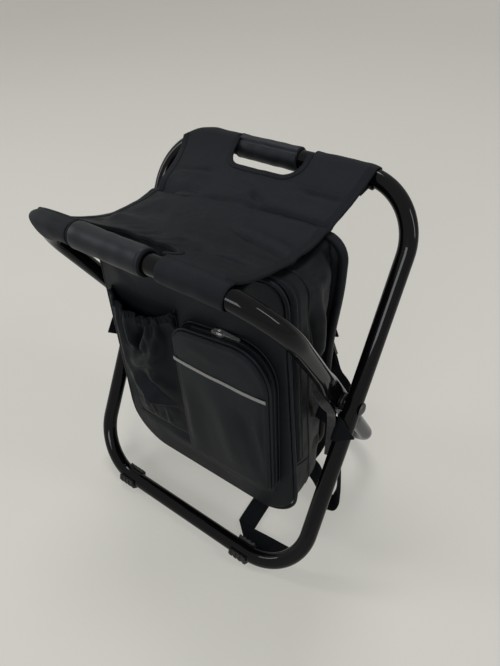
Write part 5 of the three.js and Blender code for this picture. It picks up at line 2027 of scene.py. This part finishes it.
@dataclass
class ElasticPocket:
    """The gathered pocket on the left of the front: a loose pouch under an elastic mouth."""

    left: float = -110.0
    right: float = -15.0
    bottom: float = 97.0
    top: tuple[float, float] = (302.0, 309.0)  # the mouth's left and right end
    dip: float = 15.0
    band_h: float = 9.0
    band_t: float = 3.4
    seam_r: float = 1.3
    gathers: int = 6
    foot_depth: float = 4.5
    belly: float = 14.5  # added to the foot's depth above the crease
    mouth_in: float = 4.5  # the mouth narrows by this
    thickness: float = 1.3
    flat: tuple[float, float] = (145.0, 220.0)  # the cloth laid flat
    folds: tuple[Fold, ...] = fold_rows(
        (-102, 290, -92, 176, 6, 5.0),
        (-88, 290, -83, 236, 5, -8.0),
        (-77, 290, -73, 238, 4.5, 5.5),
        (-53, 292, -72, 222, 6, -9.0),
        (-43, 290, -60, 238, 4.5, 6.0),
        (-33, 292, -46, 240, 4, 4.5),
        (-24, 296, -29, 236, 6, -8.0),
        (-86, 214, -30, 240, 7, 4.0),
        (-76, 206, -34, 158, 9, -6.0),
        (-92, 200, -52, 152, 6, 4.0),
        (-56, 222, -26, 176, 6, 4.0),
        (-106, 156, -26, 141, 4.5, -11.0),
        (-100, 168, -30, 154, 7, 5.0),
        (-96, 146, -92, 116, 3.5, 2.4),
        (-82, 140, -76, 110, 3.5, 2.2),
        (-56, 138, -50, 110, 4, 1.6),
    )

    def pouch(self, u: Array, v: Array) -> Array:
        """The pouch at u across and v up.

        Its depth is a belly that stays flat at the foot, swells above the crease and narrows to the
        mouth, plus gathers that grow towards the mouth, plus folds. All fall to the panel at the sides.

        Args:
            u: Share of the width.
            v: Share of the height.

        Returns:
            Points of the cloth's middle.
        """
        x = blend(self.left, self.right, u)
        side = np.clip(np.sin(math.pi * np.clip(u, 0, 1)), 0, 1) ** 0.5
        z = blend(self.bottom, blend(*self.top, u) - self.dip * side, v)
        belly = self.foot_depth * ramp(v, 0.0, 0.06) + self.belly * ramp(v, 0.2, 0.42)
        belly = belly - self.mouth_in * ramp(v, 0.66, 1.0)
        wave = np.cos(2 * math.pi * self.gathers * (u + 0.05 * np.sin(9.0 * u)))
        gather = (2.2 * wave + 1.6 * np.abs(wave)) * ramp(v, 0.72, 1.0)
        crumple = 1.25 * folds_height(self.folds, x, z) * (1 - 0.75 * ramp(v, 0.85, 1.0))
        crumple = crumple + 1.2 * rumple(x, z, 11.0)
        beside = 1.0 - 0.9 * ramp(u, 0.66, 0.96) * (1 - ramp(v, 0.82, 0.96))
        depth = np.maximum(side * beside * (belly + gather + crumple * ramp(v, 0.0, 0.1)), 0.0)
        return np.stack(np.broadcast_arrays(x, LAYOUT.bag_front - 1.0 - depth, z), axis=-1)

    def _band(self) -> Piece:
        """The elastic along the mouth: a flat profile that swells and thins with its gathers.

        Returns:
            The band.
        """
        mouth = self.pouch(np.linspace(0.004, 0.996, 240), np.ones(240))
        mouth[:, 2] -= self.band_h / 2 - 1.5
        turn = 2 * math.pi * np.linspace(0, 1, 240)
        along = unit(np.gradient(mouth, axis=0))
        up = np.broadcast_to(np.array([0.0, 0.0, 1.0]), mouth.shape)
        edge = unit(up - (up * along).sum(axis=1, keepdims=True) * along)
        swell = 1.0 + 0.35 * np.sin(26 * turn) + 0.2 * np.sin(11 * turn + 1.0)
        rings = swept(mouth, edge, np.cross(along, edge), strap_outline(self.band_h, self.band_t), swell)
        return loft("elastic_pocket_band", rings, FINISH.elastic, ["elastic_band"], Body.FLAP)

    def _seam(self) -> None:
        """The seam that holds the pouch's two sides and foot to the panel."""
        x = [self.left, self.left, self.right, self.right]
        corners = np.column_stack([x, [self.top[0], self.bottom, self.bottom, self.top[1]]])
        path = spaced(at_depth(corners, LAYOUT.bag_front - 1.1), 200)
        piping("elastic_pocket_seam", path, self.seam_r, Body.FLAP, sides=8, closed=False)

    def build(self) -> None:
        """Makes the pouch, its elastic band and its seam."""
        u, v = np.meshgrid(np.linspace(0, 1, 170), np.linspace(0, 1, 150))
        piece = Surface(self.pouch(u, v), facing=(0, -1, 0)).build("elastic_pocket_pouch")
        dress(piece, FINISH.pouch, ["elastic_pocket"], Body.FLAP)
        thicken(piece, self.thickness)
        elastic = self._band()
        self._seam()
        flat = tuple(side * MM for side in self.flat)
        cloth_area(piece, flat)


@dataclass
class MainZip:
    """The zip over the top and sides of the bag: two tapes with the coil between them."""

    foot: float = 148.0
    lift: float = 0.5
    zip: ZipProfile = ZipProfile(7.0, 0.1, 1.0, (2.4, 1.2), (2.4, 1.2))

    def build(self, body: BagBody) -> None:
        """Makes the tape and the coil on the bag's ring.

        Each profile point is a ring of the bag at its own depth, set out by its own lift.

        Args:
            body: The bag's body, whose rings carry the zip.
        """
        for name, profile, finish, nodes in self.zip.runs("main"):
            rings = np.stack([body.ring(LAYOUT.zip_y + p, -self.lift - q) for p, q in profile], axis=1)
            above = rings[:, 0, 2] > self.foot
            start = int(np.argmax(above & ~np.roll(above, 1)))
            rings = np.roll(rings, -start, axis=0)[: int(above.sum())]
            loft(name, rings, finish, nodes, Body.BAG)


@dataclass
class LegTies:
    """Hook-and-loop ties from the bag's sides to the outer legs, each with a loose end."""

    width: dict = field(default_factory=lambda: {1: 34.0, -1: 25.0})
    drop: dict = field(default_factory=lambda: {1: 29.0, -1: 30.0})
    thickness: float = 1.8
    clear: float = 1.5  # gap between the leg and the strap's middle
    tab_w: float = 15.0
    hanging_w: float = 9.0
    end_w: float = 22.0
    keep: float = 0.06  # share of its reach that a drawn-in strap keeps
    hanging: Route = (
        (129, -23, 233), (140, -30, 231), (150, -30, 222), (149, -23, 205), (148, -20, 180), (148, -22, 138)
    )

    def _strip(self, name: str, rings: Array, finish: Finish, body: Body, nodes: Sequence[str] = ()) -> Piece:
        """A strap of finished rings on one body."""
        return loft(name, rings, finish, nodes, body)

    def _drawn_in(self, piece: Piece) -> None:
        """Gives the strap its own copy of its mesh."""
        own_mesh(piece)

    def _flat(self, side: int, flat: Array) -> Array:
        """Knots of a strap whose middle line lies in a leg's cross section, with its edge along the leg."""
        zero, one = np.zeros(len(flat)), np.ones(len(flat))
        return np.column_stack([side * flat[:, 0], flat[:, 1], -self.drop[side] * one, zero, zero, one])

    def _wrap(self, side: int) -> Array:
        """The tie's lap: round the leg's inner side, then straight on past its front as a pointed flap.

        Args:
            side: 1 for the right and -1 for the left.

        Returns:
            Points by station and profile point.
        """
        x, r = LAYOUT.outer_half, LAYOUT.tube_r + self.clear
        a = np.radians(np.linspace(95.0, 268.0, 9))
        flap = np.array([[x + 4.0, -r - 0.6], [x + 10.0, -r - 1.0], [x + 16.0, -r - 1.2]])
        flat = np.vstack([np.stack([x + r * np.cos(a), r * np.sin(a)], axis=1), flap])
        share = np.concatenate([np.full(4, 1.0), np.linspace(1.0, 0.72, 5), [0.5, 0.26, 0.03]])
        centre, edge, face = ribbon_frame(self._flat(side, flat), 10)
        at, knots = np.linspace(0, 1, len(centre)), np.linspace(0, 1, len(flat))
        wide = self.width[side] * np.interp(at, knots, share)
        outline = strap_outline(1.0, self.thickness)
        across = outline[None, :, 0, None] * edge[:, None, :]
        rings = swept(centre, edge, face, outline) + across * (wide - 1.0)[:, None, None]
        return LAYOUT.leaning(rings, Body.OUTER)

    def build(self) -> None:
        """Makes both ties: the right one's end hangs down, the left one's points forward."""
        x, r = LAYOUT.outer_half, LAYOUT.tube_r + self.clear
        half = LAYOUT.bag_half
        lead = np.array([[half - 4.0, 15.0], [half + 8.0, 11.0], [x - r - 1.2, 5.0]])
        outline = strap_outline(self.tab_w, self.thickness)
        for side, label in SIDES:
            name = f"leg_tie_{label}"
            self._strip(f"{name}_strap", self._wrap(side), FINISH.hook, Body.OUTER, [name])
            rings = LAYOUT.leaning(swept(*ribbon_frame(self._flat(side, lead), 14), outline), Body.OUTER)
            self._drawn_in(self._strip(f"{name}_tab", rings, FINISH.hook, Body.BAG))
        knots = np.array([[*p, 1.0, 0.25, 0.0] for p in self.hanging])
        knots[:2, 3:] = (0.2, 0.98, 0.0), (0.7, 0.7, 0.0)
        rings = swept(*ribbon_frame(knots, 14), strap_outline(self.hanging_w, self.thickness))
        self._drawn_in(self._strip("leg_tie_right_end", rings, FINISH.loop, Body.BAG))
        forward = ((0, 0.4, 0, 0), (1.0, 9.0, 0.5, 0), (0.4, 18.0, 2.0, 0.1), (-2.0, 26.0, 3.0, 0.15))
        knots = np.array([[dx - x, -r - dy, dz - self.drop[-1], 0, lean, 1] for dx, dy, dz, lean in forward])
        rings = swept(*ribbon_frame(knots, 14), strap_outline(self.end_w, self.thickness))
        self._strip("leg_tie_left_end", LAYOUT.leaning(rings, Body.OUTER), FINISH.hook, Body.OUTER)


@dataclass
class ShoulderStraps:
    """Padded shoulder straps on the bag's back, and the webbing below them."""

    pad_w: float = 50.0
    pad_t: float = 9.0
    pad_fill: float = 0.6
    pad_powers: tuple[float, float] = (0.5, 0.7)
    pad_route: Route = ((42, 54, 352), (52, 62.5, 312), (68, 63, 265), (85, 61, 226))
    binding_r: float = 1.5
    web_w: float = 25.0
    web_t: float = 1.6
    floor_z: float = 2.0
    gather_y: float = 57.0  # the webbing gathers here behind the bag as the stool folds
    joined_at: tuple[float, float] = (24.6, 40.0)  # the webbing's first two knots below the pad's end
    right: Route = (  # x, y, z and the turn of the edge in degrees
        (117, 63, 165, 0), (124, 64, 134, 50), (129, 54, 112, 86), (133, 42, 90, 105), (143, 25, 62, 120),
        (150, 12, 35, 125), (151, 8, 16, 125), (147, 6, 4, 125), (141, 5, 0, 125), (133, 7, 8, 120),
        (124, 11, 20, 110), (110, 17, 33, 95), (88, 20, 38.1, 90), (60, 20, 38.1, 90),
    )
    left: Route = (
        (117, 63, 165, 0), (116, 63, 120, 0), (110, 58, 75, 0), (103, 54, 50, 0), (98, 47, 35, 0),
        (81, 34, 38.1, 0), (69, 10, 38.1, 0),
    )
    tail: Route = (
        (106, 70, 160, 0), (98, 72, 100, 0), (90, 66, 40, 0), (82, 54, 10, 0), (75, 36, 0, 0),
        (66, -10, 0, 0), (67, -41, 0, 0),
    )
    tail_turn: tuple[float, float] = (72.0, -98.5)  # where the loose end doubles over on the floor
    tail_end: float = 66.0
    tail_behind: float = 3.0

    def _knots(self, side: int, route: Route, behind: float) -> Array:
        """Knots of a webbing: two in line below the pad, then the route, whose last entry turns the edge.

        Args:
            side: 1 for the right and -1 for the left.
            route: Places below the pad, each with the edge's turn.
            behind: How far behind the pad's line the first two knots lie.

        Returns:
            Rows of place and edge direction.
        """
        pad = np.array([(side * x, y, z) for x, y, z in self.pad_route], float)
        points, along = smooth_path(pad, 8)
        start = [points[-1] + along[-1] * reach + [0, behind, 0] for reach in self.joined_at]
        rows = [[*p, 1.0, 0.0, 0.0] for p in start]
        for x, y, z, turn in route:
            a = math.radians(turn)
            rows.append([side * x, y, max(z, self.floor_z), math.cos(a), math.sin(a), 0.0])
        return np.array(rows)

    def _pad(self, side: int, label: str) -> None:
        """A stuffed strap: an oval profile along the route, thinned to a seam at both ends and bound.

        Args:
            side: 1 for the right and -1 for the left.
            label: The side's name.
        """
        knots = np.array([[side * x, y, z, 1.0, 0.0, 0.0] for x, y, z in self.pad_route], float)
        centre, edge, face = ribbon_frame(knots, 24)
        t = np.linspace(0.0, 1.0, len(centre))
        outline = strap_outline(self.pad_w, self.pad_t, 48, self.pad_powers)
        swell = blend(0.22, 1.0, ramp(np.minimum(t, 1 - t), 0.0, 0.3)) + 0.04 * np.sin(46 * t)
        name = f"shoulder_pad_{label}"
        rings = swept(centre, edge, face, outline, swell)
        loft(f"{name}_cover", rings, FINISH.bag, [name], Body.BAG)
        for sign, which in ((1, "outer"), (-1, "inner")):
            path = centre + edge * (sign * (self.pad_w / 2 - 0.4))
            piping(f"{name}_{which}_binding", path, self.binding_r, Body.BAG, closed=False)

    def _webbing(
        self, node: str, rings: Array, length: float, held: Held, rests_on: str, keep: float
    ) -> None:
        """A run of webbing on the bag, with its own copy of its mesh.

        Args:
            node: The CAD node that it replaces.
            rings: Its rings.
            length: Its length laid flat; not used.
            held: Not used.
            rests_on: Not used.
            keep: Not used.
        """
        piece = loft(f"{node}_webbing", rings, FINISH.webbing, [node], Body.BAG)
        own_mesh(piece)
        length * MM

    def _web(self, side: int, label: str, route: Route) -> None:
        """The webbing below one pad.

        Args:
            side: 1 for the right and -1 for the left.
            label: The side's name.
            route: Places below the pad, each with the edge's turn.
        """
        centre, edge, face = ribbon_frame(self._knots(side, route, 0.0), 16)
        rings = swept(centre, edge, face, strap_outline(self.web_w, self.web_t))
        rings[..., 2] = np.maximum(rings[..., 2], self.floor_z - self.web_t / 2)
        length = float(chords(centre).sum())
        self._webbing(f"strap_web_{label}", rings, length, Held.HUNG, "bag_back_pad", 0.08)

    def _loose_tail(self) -> None:
        """The loose end: a strap that runs under the bag along the floor and doubles over to the right.

        On the floor the strap is a straight run whose far part is mirrored across a slanting line, which
        turns it by a right angle and lays it over itself; a smooth absolute value rounds the fold.
        """
        centre, edge, face = ribbon_frame(self._knots(1, self.tail, self.tail_behind), 16)
        centre[:, 2] = np.maximum(centre[:, 2], self.floor_z)
        outline = spaced(strap_outline(self.web_w, self.web_t, 80), 72, closed=True)
        rings = swept(centre, edge, face, outline)
        run = np.subtract(self.tail_turn, centre[-1, :2])
        reach, heading = math.hypot(*run), unit(run)
        across = np.array([-heading[1], heading[0]])
        s = np.linspace(0.0, reach + self.tail_end, 150)[1:, None]
        w, h = outline[None, :, 0] * np.sign(edge[-1, :2] @ across), outline[None, :, 1]
        away = (s - reach - w) / math.sqrt(2.0)
        soft = np.sqrt(away**2 + self.web_t**2)
        shift = (-soft - away) / math.sqrt(2.0)
        along, side = s + shift, w - shift
        lift = (self.web_t + 0.5) * (1 + away / soft) / 2
        xy = centre[-1, :2] + along[..., None] * heading + side[..., None] * across
        z = self.floor_z - h * away / soft + lift + 0.6 * np.sin(s / 19.0) ** 2
        laid = np.concatenate([xy, z[..., None]], axis=-1)
        length = float(chords(centre).sum()) + reach + self.tail_end
        rings = np.concatenate([rings, laid])
        self._webbing("strap_tail", rings, length, Held.LAID, "pale_floor_plane", 0.06)

    def build(self) -> None:
        """Makes the pads and the webbing."""
        for side, label in SIDES:
            self._pad(side, label)
        self._web(1, "right", self.right)
        self._web(-1, "left", self.left)
        self._loose_tail()


@dataclass
class Hardware:
    """Rigid fittings whose CAD shape is shown, each with its own finish."""

    paired: tuple[tuple[str, Finish], ...] = (
        ("pivot_rivet", FINISH.zinc),
        ("pivot_spacer", FINISH.nylon),
        ("front_foot", FINISH.rubber),
        ("rear_foot", FINISH.rubber),
        ("strap_buckle", FINISH.nylon),
        ("main_slider", FINISH.steel),
        ("main_pull", FINISH.steel),
    )
    single: tuple[tuple[str, Finish], ...] = (("pocket_slider", FINISH.steel), ("pocket_pull", FINISH.steel))

    def build(self) -> None:
        """Gives each fitting its finish."""
        pairs = [(f"{stem}_{label}", finish) for stem, finish in self.paired for _, label in SIDES]
        for node, finish in (*pairs, *self.single):
            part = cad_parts[node]
            part.data.materials.clear()
            part.data.materials.append(finish.material())
            LOG.info("%s: %s", node, finish.name)


@dataclass
class Studio:
    """Camera, floor and soft light."""

    position: tuple[float, float, float] = (0.31985, -0.36947, 0.65395)
    right: tuple[float, float, float] = (0.8086, 0.5866, -0.0460)
    up: tuple[float, float, float] = (-0.3555, 0.5492, 0.7563)
    lens: float = 29.68
    sensor: float = 36.0
    aim: tuple[float, float, float] = (0.0, 0.0, 0.2)
    floor_half: float = 6000.0
    floor_bend: tuple[float, float] = (2500.0, 2600.0)  # where the floor starts to rise, and how gently
    sky: float = 0.11
    sky_colour: tuple[float, ...] = (1.0, 0.98, 0.92, 1.0)
    pale: float = 0.56  # how bright the surroundings look, to the camera and in reflections
    lamps: tuple[tuple[str, tuple[float, float, float], float, float, float], ...] = (
        ("ceiling_panel", (-0.5, 0.6, 2.5), 0.9, 0.5, 18.0),
        ("window_left", (-2.2, -0.9, 1.5), 0.35, 1.4, 14.0),
        ("window_right", (2.0, 0.5, 1.6), 0.25, 1.4, 11.0),
        ("window_front", (0.6, -2.4, 1.5), 1.2, 0.8, 21.0),
    )

    def camera(self) -> None:
        """Places the camera by its axes: right, up and their cross product backwards."""
        x, y = (Vector(v).normalized() for v in (self.right, self.up))
        back = x.cross(y).normalized()
        data = bpy.data.cameras.new("camera")
        data.lens, data.sensor_width, data.clip_start = self.lens, self.sensor, 0.01
        camera = bpy.data.objects.new("camera", data)
        turn = Matrix((x, back.cross(x), back)).transposed().to_4x4()
        camera.matrix_world = Matrix.Translation(self.position) @ turn
        bpy.context.scene.collection.objects.link(camera)
        bpy.context.scene.camera = camera

    def floor(self) -> None:
        """A wide pale floor that curves up far behind, as a grid of height over two directions."""
        reach = (-self.floor_half, self.floor_half)
        x, y = np.meshgrid(np.linspace(*reach, 40), np.linspace(*reach, 80))
        z = np.maximum(y - self.floor_bend[0], 0.0) ** 2 / self.floor_bend[1]
        piece = Surface(np.stack([x, y, z], axis=-1), facing=(0, 0, 1)).build("pale_floor_plane")
        piece.data.materials.append(FINISH.floor.material())

    def light(self) -> None:
        """An even pale sky and large soft lamps aimed at the stool."""
        scene = bpy.context.scene
        scene.world = bpy.data.worlds.new("studio")
        scene.view_settings.view_transform = "Standard"
        sky = SkyGraph(scene.world)
        strength = sky.seen() * (self.pale - self.sky) + self.sky
        shine = {"Color": self.sky_colour, "Strength": strength}
        light = sky.node("ShaderNodeBackground", {}, shine)["Background"]
        sky.node("ShaderNodeOutputWorld", {}, {"Surface": light})
        for name, place, width, height, power in self.lamps:
            data = bpy.data.lights.new(name, "AREA")
            data.shape, data.size, data.size_y, data.energy = "RECTANGLE", width, height, power
            lamp = bpy.data.objects.new(name, data)
            heading = (Vector(self.aim) - Vector(place)).to_track_quat("-Z", "Y")
            lamp.matrix_world = Matrix.Translation(place) @ heading.to_matrix().to_4x4()
            scene.collection.objects.link(lamp)

    def build(self) -> None:
        """Sets the whole stage."""
        self.camera()
        self.floor()
        self.light()


def main() -> None:
    """Builds the stage and every sub-assembly in order."""
    logging.basicConfig(level=logging.INFO, format="%(message)s")
    Studio().build()
    TubeFrame().build()
    FoamGrips().build()
    Seat().build()
    body = BagBody()
    body.build()
    FrontPanel().build()
    ZipPocket().build()
    ElasticPocket().build()
    MainZip().build(body)
    LegTies().build()
    ShoulderStraps().build()
    Hardware().build()


if __name__ == "__main__":
    main()
